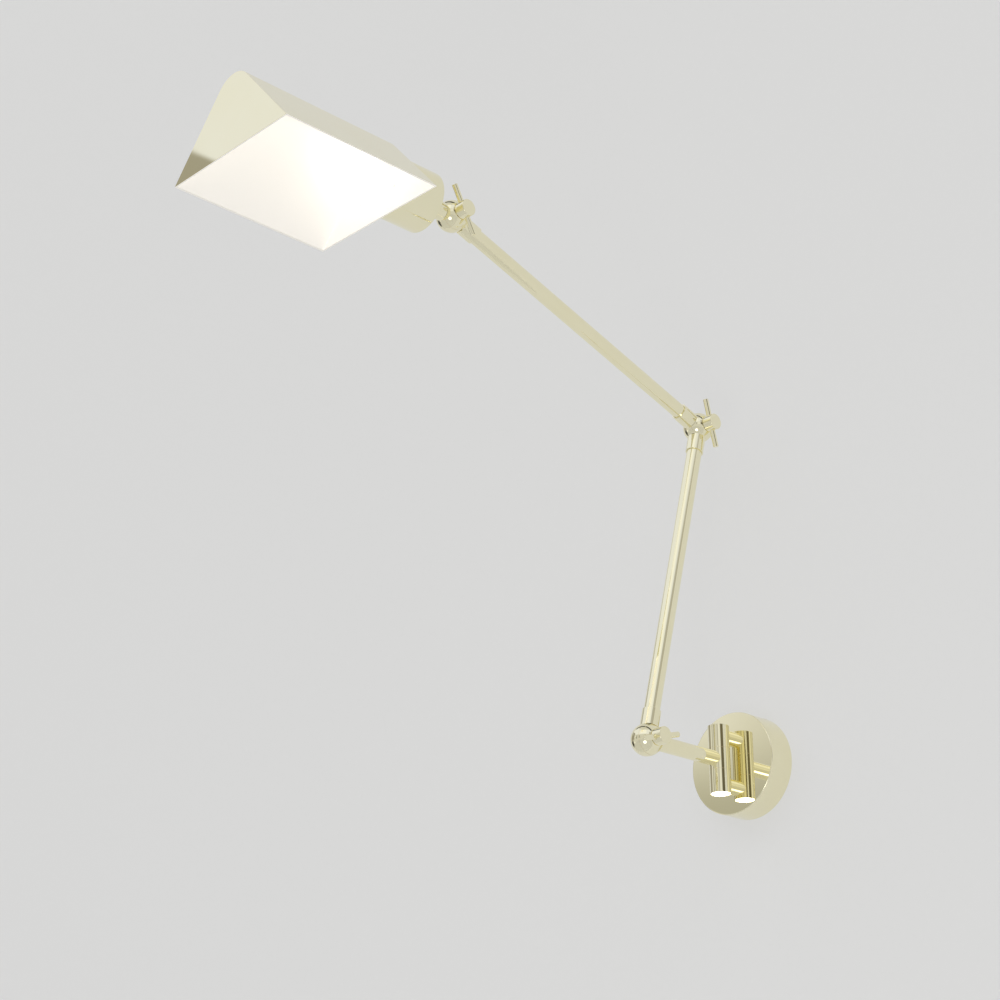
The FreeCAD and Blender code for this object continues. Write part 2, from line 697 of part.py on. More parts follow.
def make_clamp(number, hinge, bar_angle):
    """Knob with its threaded shank, the cross bar and the washers of one ball."""
    name = f"Clamp{number}"
    head = rod(name + "Head", "KnobDiameter", "KnobFaceOffset - SpotFaceOffset - LooseFit",
               ("SpotFaceOffset + LooseFit", "0", "0"), "+x")
    rim, face = cell("KnobDiameter") / 2, cell("KnobFaceOffset")
    soft_head = rounded(name + "HeadEdge", head, "KnobEdgeRadius",
                        lambda curve: near(curve.Radius, rim) and near(curve.Center.x, face))
    washer_face = "SpotFaceOffset - BossDepth + SpringWasherThickness"
    boss = rod(name + "Boss", "BossDiameter", f"BarOffset - ({washer_face})",
               (washer_face, "0", "0"), "+x")
    shank = rod(name + "Shank", "ShankDiameter", "BarOffset + ShankEnd", ("-ShankEnd", "0", "0"),
                "+x")
    bar_hole = rod(name + "BarHole", "BarDiameter + 2 * RunningFit", "BarLength",
                   ("BarOffset", "0", "-BarLength / 2"))
    knob = cut(name + "Knob", joined(name + "KnobSolid", soft_head, boss, shank), bar_hole)
    hang(knob, hinge, bar_angle)
    piece(knob, f"clamp_knob_{number}")
    stick = rod(name + "Stick", "BarDiameter", "BarLength", ("BarOffset", "0", "-BarLength / 2"))
    radius = cell("BarDiameter") / 2
    bar = rounded(name + "Bar", stick, "BarEdgeRadius", lambda curve: near(curve.Radius, radius))
    hang(bar, hinge, bar_angle)
    piece(bar, f"clamp_bar_{number}")
    boss_seat = "SpotFaceOffset - BossDepth"
    ring = rod(name + "SpringDisc", "BossDiameter", "SpringWasherThickness",
               (boss_seat, "0", "0"), "+x")
    spring = cut(name + "SpringWasher", ring, shank_clearance(name + "SpringHole"))
    hang(spring, hinge, bar_angle)
    piece(spring, f"spring_washer_{number}")
    discs = []
    starts = ("TongueThickness / 2", "-TongueThickness / 2 - FrictionWasherThickness")
    for side, start in zip(("Outer", "Inner"), starts):
        disc = rod(name + side + "Disc", "FrictionWasherDiameter", "FrictionWasherThickness",
                   (start, "0", "0"), "+x")
        discs.append(cut(name + side, disc, shank_clearance(name + side + "Hole")))
    pair = joined(name + "Friction", *discs)
    hang(pair, hinge, bar_angle)
    piece(pair, f"friction_washers_{number}")


def shank_clearance(name):
    return rod(name, "ShankDiameter + 2 * LooseFit", "BallDiameter", ("-BallDiameter / 2", "0",
                                                                    "0"), "+x")


# ---------------------------------------------------------------- head behind the shade

def make_neck():
    """Tongue of the top ball with a sleeve up to the housing and a threaded nipple through it."""
    sleeve = rod("NeckSleeve", "SleeveDiameter", "HousingStart")
    nipple = rod("Nipple", "NippleDiameter", "HousingStart + NippleReach")
    whole = joined("NeckStub", sleeve, nipple)
    neck = tongue("HeadNeck", whole)
    bored = cut("HeadNeckBored", neck,
                rod("NippleBore", "WireBore", "HousingStart + NippleReach",
                    ("0", "0", "SleeveFloor")))
    hang(bored, TOP, HEAD_ANGLE)
    piece(bored, "head_neck")


def make_housing():
    body = new_body("Housing")
    outside = "HousingDiameter / 2"
    inside = "HousingDiameter / 2 - HousingWall"
    front = "ShadeStart"
    turned(body, "HousingCup", [
        ("NippleDiameter / 2 + LooseFit", "HousingStart"),
        (outside, "HousingStart"),
        (outside, front),
        (f"{inside} - HousingFlangeWidth", front),
        (f"{inside} - HousingFlangeWidth", f"{front} - HousingBackThickness"),
        (inside, f"{front} - HousingBackThickness"),
        (inside, "HousingStart + HousingBackThickness"),
        ("NippleDiameter / 2 + LooseFit", "HousingStart + HousingBackThickness"),
    ])
    rim, back = cell("HousingDiameter") / 2, cell("HousingStart")
    round_edges(body, "HousingEdge", "HousingEdgeRadius",
                lambda curve: near(curve.Radius, rim) and near(curve.Center.z, back))
    holes = new_sketch(body, "HousingScrewHoles", "XY_Plane")
    holes.setExpression("AttachmentOffset.Base.z",
                        formula("ShadeStart - HousingBackThickness - 1"))
    screw_circle(holes, "ShadeScrewDiameter + 2 * RunningFit")
    pocket(body, "HousingThreads", holes, "HousingBackThickness + 2")
    hang(body, TOP, HEAD_ANGLE)
    piece(body, "socket_housing")


def screw_circle(sketch, diameter):
    for turn in range(3):
        angle = 90 + 120 * turn
        circle(sketch, diameter, f"ShadeScrewCircle / 2 * cos({angle})",
               f"ShadeScrewCircle / 2 * sin({angle})")


def make_lampholder():
    nut_start = "HousingStart + HousingBackThickness"
    nut = cut("NeckNut", hexagon("NutSolid", "NutWidth", "NutThickness", ("0", "0", nut_start)),
              rod("NutBore", "NippleDiameter + 2 * RunningFit", "NutThickness + 2",
                  ("0", "0", f"{nut_start} - 1")))
    hang(nut, TOP, HEAD_ANGLE)
    piece(nut, "neck_nut")
    start = f"({nut_start} + NutThickness)"
    solid = rod("HolderSolid", "HolderDiameter", "HolderLength", ("0", "0", start))
    entry = rod("HolderEntry", "NippleDiameter + 2 * RunningFit",
                f"HousingStart + NippleReach + LooseFit - {start}", ("0", "0", start))
    room = rod("HolderRoom", "ShellDiameter + 2 * RunningFit", "HolderLength",
               ("0", "0", f"{start} + HolderBase"))
    holder = cut("Lampholder", solid, entry, room)
    hang(holder, TOP, HEAD_ANGLE)
    piece(holder, "lampholder_body")
    floor = f"({start} + HolderBase)"
    disc = rod("ContactDisc", "ContactDiameter", "ContactThickness", ("0", "0", floor))
    contact = rounded("Contact", disc, "ContactEdgeRadius",
                      lambda curve: near(curve.Radius, cell("ContactDiameter") / 2))
    hang(contact, TOP, HEAD_ANGLE)
    piece(contact, "lampholder_contact")
    shell_at = f"{start} + HolderLength - ShellLength"
    shell = cut("Shell", rod("ShellOutside", "ShellDiameter", "ShellLength",
                             ("0", "0", shell_at)),
                rod("ShellInside", "ShellDiameter - 2 * ShellWall", "ShellLength + 2",
                    ("0", "0", f"{shell_at} - 1")))
    hang(shell, TOP, HEAD_ANGLE)
    piece(shell, "lampholder_shell")
    make_bulb(f"{floor} + ContactThickness")


def make_bulb(tip):
    body = new_body("BulbCap")
    radius = "BulbCapDiameter / 2"
    glass = f"({tip} + BulbCapLength + ContactDiameter / 2)"
    turned(body, "BulbCapTurned", [
        ("0", tip),
        ("ContactDiameter / 2", tip),
        (radius, f"{tip} + ContactDiameter / 2"),
        (radius, glass),
        ("0", glass),
    ])
    hang(body, TOP, HEAD_ANGLE)
    piece(body, "bulb_cap")
    middle = f"({glass} + BulbLength - BulbDiameter / 2)"
    outside = joined("BulbOutside",
                     primitive("Sphere", "BulbSphere", {"Radius": "BulbDiameter / 2"},
                               ("0", "0", middle)),
                     rod("BulbNeck", "BulbNeckDiameter", f"{middle} - {glass}",
                         ("0", "0", glass)))
    inside = joined("BulbInside",
                    primitive("Sphere", "BulbVoid", {"Radius": "BulbDiameter / 2 - BulbWall"},
                              ("0", "0", middle)),
                    rod("BulbNeckVoid", "BulbNeckDiameter - 2 * BulbWall",
                        f"{middle} - {glass} + 1", ("0", "0", f"{glass} - 1")))
    globe = cut("BulbGlobe", outside, inside)
    hang(globe, TOP, HEAD_ANGLE)
    piece(globe, "bulb_globe")


# ---------------------------------------------------------------- tent-shaped shade

def tent(sketch, inset, lift="0"):
    """Outline with two slopes and a round ridge, set in by a sheet's thickness.

    The sides are tangent to the ridge's arc, and lift raises the open edge."""
    rise = "(ShadeDrop + ShadeRise - RidgeRadius)"
    slope = (f"(atan({rise} / (ShadeWidth / 2))"
             f" + asin(RidgeRadius / sqrt({rise} ^ 2 + (ShadeWidth / 2) ^ 2)))")
    half = f"(ShadeWidth / 2 - ({inset}) / sin({slope}) - ({lift}) / tan({slope}))"
    radius = f"(RidgeRadius - ({inset}))"
    centre_height = "(ShadeRise - RidgeRadius)"
    foot_height = f"-ShadeDrop + {lift}"
    # start near the answer, so that the solver keeps the slopes upright
    ridge, drop = cell("RidgeRadius"), cell("ShadeDrop")
    width, middle = cell("ShadeWidth") / 2, cell("ShadeRise") - cell("RidgeRadius")
    lean = math.radians(40)
    reach = ridge * math.cos(lean)
    shoulder = middle + ridge * math.sin(lean)
    left = Part.LineSegment(Vector(-width, -drop, 0), Vector(-reach, shoulder, 0))
    arc = Part.ArcOfCircle(Part.Circle(Vector(0, middle, 0), Z_AXIS, ridge), lean,
                           math.pi - lean)
    right = Part.LineSegment(Vector(reach, shoulder, 0), Vector(width, -drop, 0))
    base = Part.LineSegment(Vector(width, -drop, 0), Vector(-width, -drop, 0))
    left_edge, arc_edge, right_edge, base_edge = (
        sketch.addGeometry(edge, False) for edge in (left, arc, right, base))
    sketch.addConstraint(Sketcher.Constraint("Tangent", left_edge, 2, arc_edge, 2))
    sketch.addConstraint(Sketcher.Constraint("Tangent", arc_edge, 1, right_edge, 1))
    sketch.addConstraint(Sketcher.Constraint("Coincident", right_edge, 2, base_edge, 1))
    sketch.addConstraint(Sketcher.Constraint("Coincident", base_edge, 2, left_edge, 1))
    pin_point(sketch, arc_edge, 3, "0", centre_height)
    pin_point(sketch, base_edge, 1, half, foot_height)
    pin_point(sketch, base_edge, 2, f"-{half}", foot_height)
    index = sketch.addConstraint(Sketcher.Constraint("Radius", arc_edge, ridge))
    sketch.setExpression(f"Constraints[{index}]", formula(radius))


def tent_sketch(body, name, start, inset, lift="0"):
    sketch = new_sketch(body, name, "XY_Plane")
    sketch.setExpression("AttachmentOffset.Base.z", formula(start))
    tent(sketch, inset, lift)
    return sketch


def make_skin():
    body = new_body("ShadeSkin")
    start = "ShadeStart + SheetThickness"
    length = "ShadeLength - 2 * SheetThickness"
    pad(body, "SkinSolid", tent_sketch(body, "SkinOutside", start, "0"), length)
    pocket(body, "SkinHollow", tent_sketch(body, "SkinInside", start, "SheetThickness"), length)
    hang(body, TOP, HEAD_ANGLE)
    piece(body, "shade_skin")


def make_front_gable():
    body = new_body("FrontGable")
    start = "ShadeStart + ShadeLength - SheetThickness"
    pad(body, "FrontGableSheet", tent_sketch(body, "FrontGableOutline", start, "0"),
        "SheetThickness")
    hang(body, TOP, HEAD_ANGLE)
    piece(body, "shade_gable_front")


def bulb_and_screw_holes(body, name, start):
    holes = new_sketch(body, name, "XY_Plane")
    holes.setExpression("AttachmentOffset.Base.z", formula(start))
    circle(holes, "BulbHoleDiameter")
    screw_circle(holes, "ShadeScrewDiameter + 2 * LooseFit")
    return holes


def make_rear_gable():
    body = new_body("RearGable")
    pad(body, "RearGableSheet", tent_sketch(body, "RearGableOutline", "ShadeStart", "0"),
        "SheetThickness")
    pocket(body, "RearGableHoles", bulb_and_screw_holes(body, "RearGableBores", "ShadeStart - 1"),
           "SheetThickness + 2")
    hang(body, TOP, HEAD_ANGLE)
    piece(body, "shade_gable_rear")


def make_liner():
    body = new_body("ShadeLiner")
    start = "ShadeStart + SheetThickness"
    length = "ShadeLength - 2 * SheetThickness - LinerGap"
    outside = "SheetThickness + LinerGap"
    pad(body, "LinerSolid",
        tent_sketch(body, "LinerOutside", start, outside, "LinerSetback"), length)
    pocket(body, "LinerHollow",
           tent_sketch(body, "LinerInside", f"{start} + LinerThickness",
                       f"{outside} + LinerThickness", "LinerSetback"),
           f"{length} - 2 * LinerThickness")
    pocket(body, "LinerHoles", bulb_and_screw_holes(body, "LinerBores", f"{start} - 1"),
           "LinerThickness + 2")
    hang(body, TOP, HEAD_ANGLE)
    piece(body, "shade_liner")


def make_shade_screws():
    seat = "ShadeStart + SheetThickness + LinerThickness"
    screws = []
    for turn in range(3):
        angle = 90 + 120 * turn
        at = (f"ShadeScrewCircle / 2 * cos({angle})", f"ShadeScrewCircle / 2 * sin({angle})")
        shank = rod(f"ShadeScrewShank{turn}", "ShadeScrewDiameter",
                    "HousingBackThickness + SheetThickness + LinerThickness",
                    (*at, "ShadeStart - HousingBackThickness"))
        head = rod(f"ShadeScrewCap{turn}", "ShadeScrewHead", "ShadeScrewDiameter * 0.6",
                   (*at, seat))
        screws.append(joined(f"ShadeScrew{turn}", shank, head))
    group = joined("ShadeScrewGroup", *screws)
    hang(group, TOP, HEAD_ANGLE)
    piece(group, "shade_screws")


# ---------------------------------------------------------------- the whole lamp

def make_lamp():
    make_mount_disc()
    make_canopy()
    make_canopy_screws()
    make_backing_plate()
    make_terminals()
    make_post(1, "Upper")
    make_post(-1, "Lower")
    make_post_bolts()
    make_barrel_ends()
    make_barrel_trim()
    make_hinge_shaft()
    make_barrel_washers()
    make_barrel_middle()
    make_stem()
    make_arm("Lower", BOTTOM, ELBOW, "LowerArmLength", "LowerArmAngle", "LowerArmDiameter")
    make_arm("Upper", ELBOW, TOP, "UpperArmLength", "UpperArmAngle", "UpperArmDiameter")
    make_clamp(1, BOTTOM, "BottomBarAngle")
    make_clamp(2, ELBOW, "ElbowBarAngle")
    make_clamp(3, TOP, "TopBarAngle")
    make_neck()
    make_housing()
    make_lampholder()
    make_skin()
    make_front_gable()
    make_rear_gable()
    make_liner()
    make_shade_screws()
    doc.recompute()


def check_document():
    for item in doc.Objects:
        for state in item.State:
            if state in ("Invalid", "Error"):
                raise RuntimeError(f"{item.Label} failed to build: {state}")
    for item in subparts:
        if item.Shape.isNull() or not item.Shape.isValid():
            raise RuntimeError(item.Label + " has no valid shape")


make_lamp()
check_document()
os.makedirs("parts", exist_ok=True)
for item in subparts:
    item.Shape.exportStep(f"parts/{item.Label}.step")
print(len(subparts), "sub-parts written")
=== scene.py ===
import json
import math
from collections import namedtuple

import bmesh
import bpy
from mathutils import Matrix, Vector

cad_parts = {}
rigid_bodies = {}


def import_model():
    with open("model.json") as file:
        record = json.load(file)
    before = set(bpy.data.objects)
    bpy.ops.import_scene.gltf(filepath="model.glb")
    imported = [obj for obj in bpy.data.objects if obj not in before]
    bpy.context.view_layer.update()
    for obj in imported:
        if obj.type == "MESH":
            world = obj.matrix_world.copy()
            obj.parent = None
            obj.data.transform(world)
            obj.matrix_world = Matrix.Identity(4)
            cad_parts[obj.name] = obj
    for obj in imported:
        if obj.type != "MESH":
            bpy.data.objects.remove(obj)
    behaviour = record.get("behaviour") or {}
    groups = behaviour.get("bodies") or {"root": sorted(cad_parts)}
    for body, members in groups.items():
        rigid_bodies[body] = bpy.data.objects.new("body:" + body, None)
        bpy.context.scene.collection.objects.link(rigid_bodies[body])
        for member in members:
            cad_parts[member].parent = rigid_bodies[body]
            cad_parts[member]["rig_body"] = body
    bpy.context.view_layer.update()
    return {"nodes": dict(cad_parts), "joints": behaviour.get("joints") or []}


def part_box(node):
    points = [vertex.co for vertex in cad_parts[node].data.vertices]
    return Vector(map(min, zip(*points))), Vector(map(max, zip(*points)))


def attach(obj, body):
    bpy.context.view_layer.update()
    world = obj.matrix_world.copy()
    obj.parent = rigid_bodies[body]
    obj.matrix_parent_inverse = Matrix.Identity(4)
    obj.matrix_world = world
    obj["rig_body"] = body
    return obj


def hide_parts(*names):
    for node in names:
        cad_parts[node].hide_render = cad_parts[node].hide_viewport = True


bl_info = {
    "name": "Articulating Wall Lamp",
    "version": (1, 0, 0),
    "blender": (4, 5, 0),
    "location": "View3D > Sidebar > Wall Lamp",
    "description": "Dresses an articulating wall lamp in polished brass and sets a pale studio",
    "category": "Object",
}

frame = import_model()

X_AXIS = Vector((1, 0, 0))
Z_AXIS = Vector((0, 0, 1))
OUT_FROM_WALL = Vector((0, -1, 0))
ALONG_X = Matrix.Rotation(math.pi / 2, 4, "Y")
MERGE_DISTANCE = 1e-7
# How close in metres a point has to be to count as on a face or edge.
NEAR = 0.0001
SHARP_ANGLE = math.radians(38)
# Steps round a turned piece: a common one, a ball's, a wide one, a bar and a small hole.
ROUND = 96
BALL_ROUND = 144
WIDE_ROUND = 192
BAR_ROUND = 64
HOLE_ROUND = 24
# Parts of a unit normal, above the first along an axis and below the second across it.
ALONG_AXIS = 0.9
ACROSS_AXIS = 0.1
GRUB_SCREW_ANGLE = math.radians(30)
# Where a web and a neck start inside their ball, in ball radii.
WEB_START = 0.6
NECK_START = 0.45
OVERLAP = 0.001
# Angle in degrees of each cross bar from the room's Y, bottom to top.
BAR_ANGLES = (15, 105, 119)
NOISE_MIDDLE = (0.3, 0.7)
ENAMEL_DEEPER = 0.97
# Strength of the enamel's glow: painted light standing in for the bulb's light on the liner.
ENAMEL_PAINTED_GLOW = 0.34
BULB_GLOW = 1.2
FOOT_GLOW = 4.0


# ---------------------------------------------------------------- what the frame says

def hinge(name):
    joint = next(item for item in frame["joints"] if item["name"] == name)
    return Vector(joint["pos_m"])


def half_width(node):
    low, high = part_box(node)
    return (high.x - low.x) / 2


BARREL = hinge("stem_swivel")
BOTTOM = hinge("lower_arm_hinge")
ELBOW = hinge("elbow_hinge")
TOP = hinge("shade_tilt")
TO_BALL = (BOTTOM - BARREL).normalized()
ON_BARREL = Matrix.Translation((0, BARREL.y, 0))


# ---------------------------------------------------------------- sizes and colours

def length(name, description, default):
    return bpy.props.FloatProperty(name=name, description=description, default=default,
                                   subtype="DISTANCE", unit="LENGTH", precision=5)


def colour(name, description, default):
    return bpy.props.FloatVectorProperty(name=name, description=description, default=default,
                                         size=3, subtype="COLOR", min=0, max=1)


class WallLampSizes(bpy.types.PropertyGroup):
    """Sizes of the turned and bent pieces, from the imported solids' boxes where these tell."""
    ball_radius: length("Ball radius", "Radius of each ball knuckle",
                        -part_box("stem_ball")[0].x)
    spot_face: length("Spot face", "Distance from a ball's centre to the flat under its knob",
                      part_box("stem_ball")[1].x)
    tongue_half: length("Tongue half", "Half the thickness of the tongue in a ball", 0.004)
    washer_thickness: length("Washer", "Thickness of one friction washer", 0.00015)
    swing_gap: length("Swing gap", "Gap between a ball and the sleeve that swings round it",
                      0.0004)
    fit_gap: length("Fit gap", "Radial clearance of a close fit", 0.00005)
    sleeve_radius: length("Sleeve radius", "Outer radius of the arms' sleeves",
                          half_width("lower_foot"))
    sleeve_end: length("Sleeve end", "Distance from a ball's centre to its sleeve's end", 0.035)
    sleeve_floor: length("Sleeve floor", "Distance from a ball's centre to its tube's end",
                         0.023)
    stem_neck: length("Stem neck", "Distance from the first ball's centre to the stem's tube",
                      0.024)
    tube_wall: length("Tube wall", "Wall of the stem and arm tubes", 0.0015)
    shank_radius: length("Shank radius", "Radius of a clamp's threaded shank", 0.003)
    boss_radius: length("Boss radius", "Radius of the boss behind a clamp's knob", 0.006)
    boss_depth: length("Boss depth", "Depth of the boss's seat in the ball", 0.003)
    bar_offset: length("Bar offset", "Distance from a ball's centre to its cross bar", 0.0193)
    bar_half: length("Bar half", "Half the length of a cross bar", 0.029)
    canopy_wall: length("Canopy wall", "Wall of the canopy", 0.002)
    canopy_edge: length("Canopy edge", "Radius of the canopy's front edge", 0.0012)
    grub_hole: length("Grub hole", "Radius of the canopy's holes for its grub screws", 0.00205)
    post_bore: length("Post bore", "Radius of the bolt's hole through a post", 0.0033)
    shaft_radius: length("Shaft radius", "Radius of the barrel's hinge shaft", 0.0055)
    cap_edge: length("Cap edge", "Radius of the barrel cap's top edge", 0.0005)
    stem_spigot: length("Stem spigot", "Length of the spigot in the stem's tube", 0.012)
    blind_hole: length("Blind hole", "Depth of a shank's hole beyond its ball's centre", 0.0138)
    boss_gap: length("Boss gap", "Radial gap round a boss in its seat", 0.0003)
    knob_gap: length("Knob gap", "Gap between a knob and the flat of its ball", 0.0003)
    spring_room: length("Spring room", "Room under a boss for its spring washer", 0.0005)
    knob_edge: length("Knob edge", "Radius of a knob's front edge", 0.0006)
    bar_edge: length("Bar edge", "Radius of a cross bar's end edges", 0.0004)
    nipple_radius: length("Nipple radius", "Radius of the nipple in the housing", 0.005)
    wire_way: length("Wire way", "Radius of the wires' hole through the nipple", 0.00225)
    neck_floor: length("Neck floor", "Distance from the top ball's centre to the wires' hole",
                       0.023)
    housing_wall: length("Housing wall", "Wall of the round housing", 0.0015)
    housing_end: length("Housing end", "Thickness of the housing's back and flange", 0.003)
    housing_flange: length("Housing flange", "Width of the flange in the housing's front", 0.008)
    housing_edge: length("Housing edge", "Radius of the housing's back edge", 0.0012)
    nipple_hole: length("Nipple hole", "Radius of the housing's hole for the nipple", 0.0053)
    bulb_neck: length("Bulb neck", "Radius of the bulb's neck", 0.012)
    bulb_wall: length("Bulb wall", "Wall of the bulb's globe", 0.001)
    shade_sheet: length("Shade sheet", "Thickness of the shade's sheet", 0.001)
    ridge_radius: length("Ridge radius", "Outer radius of the shade's ridge", 0.029)
    bulb_hole: length("Bulb hole", "Radius of the hole that the bulb goes through", 0.025)
    liner_sheet: length("Liner sheet", "Thickness of the white liner", 0.0005)
    liner_gap: length("Liner gap", "Gap between the shade's sheet and its liner", 0.0001)
    edge: length("Edge", "Radius that polishing leaves on turned edges", 0.0003)
    polish_loss: length("Polish loss", "Depth that polishing takes off a tongue's side", 0.00002)


class WallLampColours(bpy.types.PropertyGroup):
    """Colours of the lamp's finishes and its light."""
    brass: colour("Brass", "Polished pale brass", (0.945, 0.9, 0.66))
    brass_deep: colour("Brass, deeper", "Brass where the polish is a little older",
                       (0.935, 0.885, 0.63))
    enamel: colour("Enamel", "White enamel of the shade's liner", (0.9, 0.89, 0.865))
    # Also the colour of the painted glow given to the white enamel.
    lamp_light: colour("Lamp light", "Colour of the lit bulb", (1.0, 0.935, 0.83))
    foot_light: colour("Foot light", "Colour of the lit disc in the barrel's foot",
                       (1.0, 0.975, 0.93))
    wall: colour("Wall", "Pale studio wall and floor", (0.79, 0.79, 0.785))


# ---------------------------------------------------------------- materials

def new_material(name):
    """Material with its Principled shader, node list and link list."""
    material = bpy.data.materials.new(name)
    material.use_nodes = True
    tree = material.node_tree
    return material, tree.nodes["Principled BSDF"], tree


def object_noise(tree, scale, detail, stretch=(1, 1, 1)):
    """Noise on the object's own coordinates, as a node whose Fac is its height."""
    place = tree.nodes.new("ShaderNodeTexCoord")
    mapping = tree.nodes.new("ShaderNodeMapping")
    mapping.inputs["Scale"].default_value = stretch
    noise = tree.nodes.new("ShaderNodeTexNoise")
    noise.inputs["Scale"].default_value = scale
    noise.inputs["Detail"].default_value = detail
    tree.links.new(place.outputs["Object"], mapping.inputs["Vector"])
    tree.links.new(mapping.outputs["Vector"], noise.inputs["Vector"])
    return noise


def map_range(tree, source, ends, values, kind="LINEAR"):
    """Map what lies between two ends to what lies between two values, held beyond them."""
    node = tree.nodes.new("ShaderNodeMapRange")
    node.interpolation_type = kind
    for name, value in zip(("From Min", "From Max", "To Min", "To Max"), (*ends, *values)):
        node.inputs[name].default_value = value
    tree.links.new(source, node.inputs["Value"])
    return node.outputs["Result"]


def spread(tree, noise, low, high):
    """Map the middle of a noise's range to the values between low and high."""
    return map_range(tree, noise, NOISE_MIDDLE, (low, high))


def fade_out(tree, value, start, end, full=1):
    """The full number up to the start, then smoothly down to 0 at the end."""
    return map_range(tree, value, (start, end), (full, 0), "SMOOTHSTEP")


def blend_colours(tree, factor, first, second):
    """Mix of two colours, each a colour or a socket that gives one."""
    mix = tree.nodes.new("ShaderNodeMix")
    mix.data_type = "RGBA"
    for side, value in (("A", first), ("B", second)):
        if isinstance(value, bpy.types.NodeSocket):
            tree.links.new(value, mix.inputs[side])
        else:
            mix.inputs[side].default_value = (*value, 1)
    tree.links.new(factor, mix.inputs["Factor"])
    return mix.outputs["Result"]


def calculate(tree, operation, *values):
    """Result of a Math node on values that are numbers or sockets."""
    node = tree.nodes.new("ShaderNodeMath")
    node.operation = operation
    for socket, value in zip(node.inputs, values):
        if isinstance(value, bpy.types.NodeSocket):
            tree.links.new(value, socket)
        else:
            socket.default_value = value
    return node.outputs[0]


def add_bump(tree, shader, height, strength, distance):
    bump = tree.nodes.new("ShaderNodeBump")
    bump.inputs["Strength"].default_value = strength
    bump.inputs["Distance"].default_value = distance
    tree.links.new(height, bump.inputs["Height"])
    tree.links.new(bump.outputs["Normal"], shader.inputs["Normal"])


def polished_brass():
    """Mirror polish with a faint cloud of handling and very fine wiping marks."""
    colours = bpy.context.scene.wall_lamp_colours
    material, shader, tree = new_material("polished_brass")
    cloud = object_noise(tree, scale=14, detail=3)
    wiping = object_noise(tree, scale=900, detail=2, stretch=(1, 1, 0.15))
    tint = spread(tree, cloud.outputs["Fac"], 0, 1)
    tree.links.new(blend_colours(tree, tint, colours.brass, colours.brass_deep),
                   shader.inputs["Base Color"])
    tree.links.new(spread(tree, cloud.outputs["Fac"], 0.02, 0.04), shader.inputs["Roughness"])
    add_bump(tree, shader, wiping.outputs["Fac"], strength=0.01, distance=0.00001)
    shader.inputs["Metallic"].default_value = 1
    return material


def grained(name, tones, roughness, grain, relief):
    """Material whose two tones, roughness and relief all follow one fine noise."""
    material, shader, tree = new_material(name)
    height = object_noise(tree, **grain).outputs["Fac"]
    tint = spread(tree, height, 0, 1)
    tree.links.new(blend_colours(tree, tint, *tones), shader.inputs["Base Color"])
    tree.links.new(spread(tree, height, *roughness), shader.inputs["Roughness"])
    add_bump(tree, shader, height, **relief)
    return material


def dull_metal(name, tone, deeper, roughness):
    material = grained(name, (tone, deeper), (roughness, roughness + 0.12),
                       grain={"scale": 260, "detail": 4},
                       relief={"strength": 0.08, "distance": 0.00005})
    material.node_tree.nodes["Principled BSDF"].inputs["Metallic"].default_value = 1
    return material


def plain_solid(name, tone, deeper, roughness, scale=180):
    return grained(name, (tone, deeper), (roughness, roughness + 0.08),
                   grain={"scale": scale, "detail": 3},
                   relief={"strength": 0.05, "distance": 0.00004})


def white_enamel():
    """Sprayed enamel with a faint orange peel and a painted glow, an emission that stands in for
    the bulb's light falling on it.
    """
    colours = bpy.context.scene.wall_lamp_colours
    tone = tuple(colours.enamel)
    deeper = tuple(ENAMEL_DEEPER * channel for channel in tone)
    material = plain_solid("white_enamel", tone, deeper, roughness=0.38, scale=320)
    shader = material.node_tree.nodes["Principled BSDF"]
    # Painted light: the enamel emits in the lamp's light colour, though it is no lamp.
    shader.inputs["Emission Color"].default_value = (*colours.lamp_light, 1)
    shader.inputs["Emission Strength"].default_value = ENAMEL_PAINTED_GLOW
    return material


def glowing(name, tone, light, strength):
    """Opal material lit from inside, a little brighter in its middle clouds."""
    material, shader, tree = new_material(name)
    cloud = object_noise(tree, scale=40, detail=2)
    shader.inputs["Base Color"].default_value = (*tone, 1)
    shader.inputs["Roughness"].default_value = 0.3
    shader.inputs["Emission Color"].default_value = (*light, 1)
    tree.links.new(spread(tree, cloud.outputs["Fac"], 0.96 * strength, 1.04 * strength),
                   shader.inputs["Emission Strength"])
    return material


# ---------------------------------------------------------------- modelling helpers

def standing(origin, direction):
    """Matrix that keeps X and turns Z to a direction square to X."""
    up = direction.normalized()
    turn = Matrix((X_AXIS, up.cross(X_AXIS), up)).transposed().to_4x4()
    return Matrix.Translation(origin) @ turn


def arc(radius, start, end, steps, centre=0.0):
    """Points (radius, height) on a circle about a point of the axis, by angle from the plane."""
    points = []
    for step in range(steps + 1):
        angle = start + (end - start) * step / steps
        points.append((radius * math.cos(angle), centre + radius * math.sin(angle)))
    return points


def turned(profile, closed=False, segments=ROUND):
    """Spin a profile of (radius, height) pairs about Z."""
    bm = bmesh.new()
    verts = [bm.verts.new((radius, 0, height)) for radius, height in profile]
    edges = [bm.edges.new(pair) for pair in zip(verts, verts[1:])]
    if closed:
        edges.append(bm.edges.new((verts[-1], verts[0])))
    bmesh.ops.spin(bm, geom=verts + edges, cent=(0, 0, 0), axis=(0, 0, 1),
                   angle=2 * math.pi, steps=segments, use_merge=True)
    bmesh.ops.remove_doubles(bm, verts=bm.verts, dist=MERGE_DISTANCE)
    bmesh.ops.recalc_face_normals(bm, faces=bm.faces)
    return bm


def rod(radius, start, end, segments=ROUND):
    """Plain solid cylinder about Z."""
    return turned([(0, start), (radius, start), (radius, end), (0, end)], segments=segments)


def pipe(bore, radius, start, end):
    """Plain hollow cylinder about Z."""
    return turned([(bore, start), (radius, start), (radius, end), (bore, end)], closed=True)


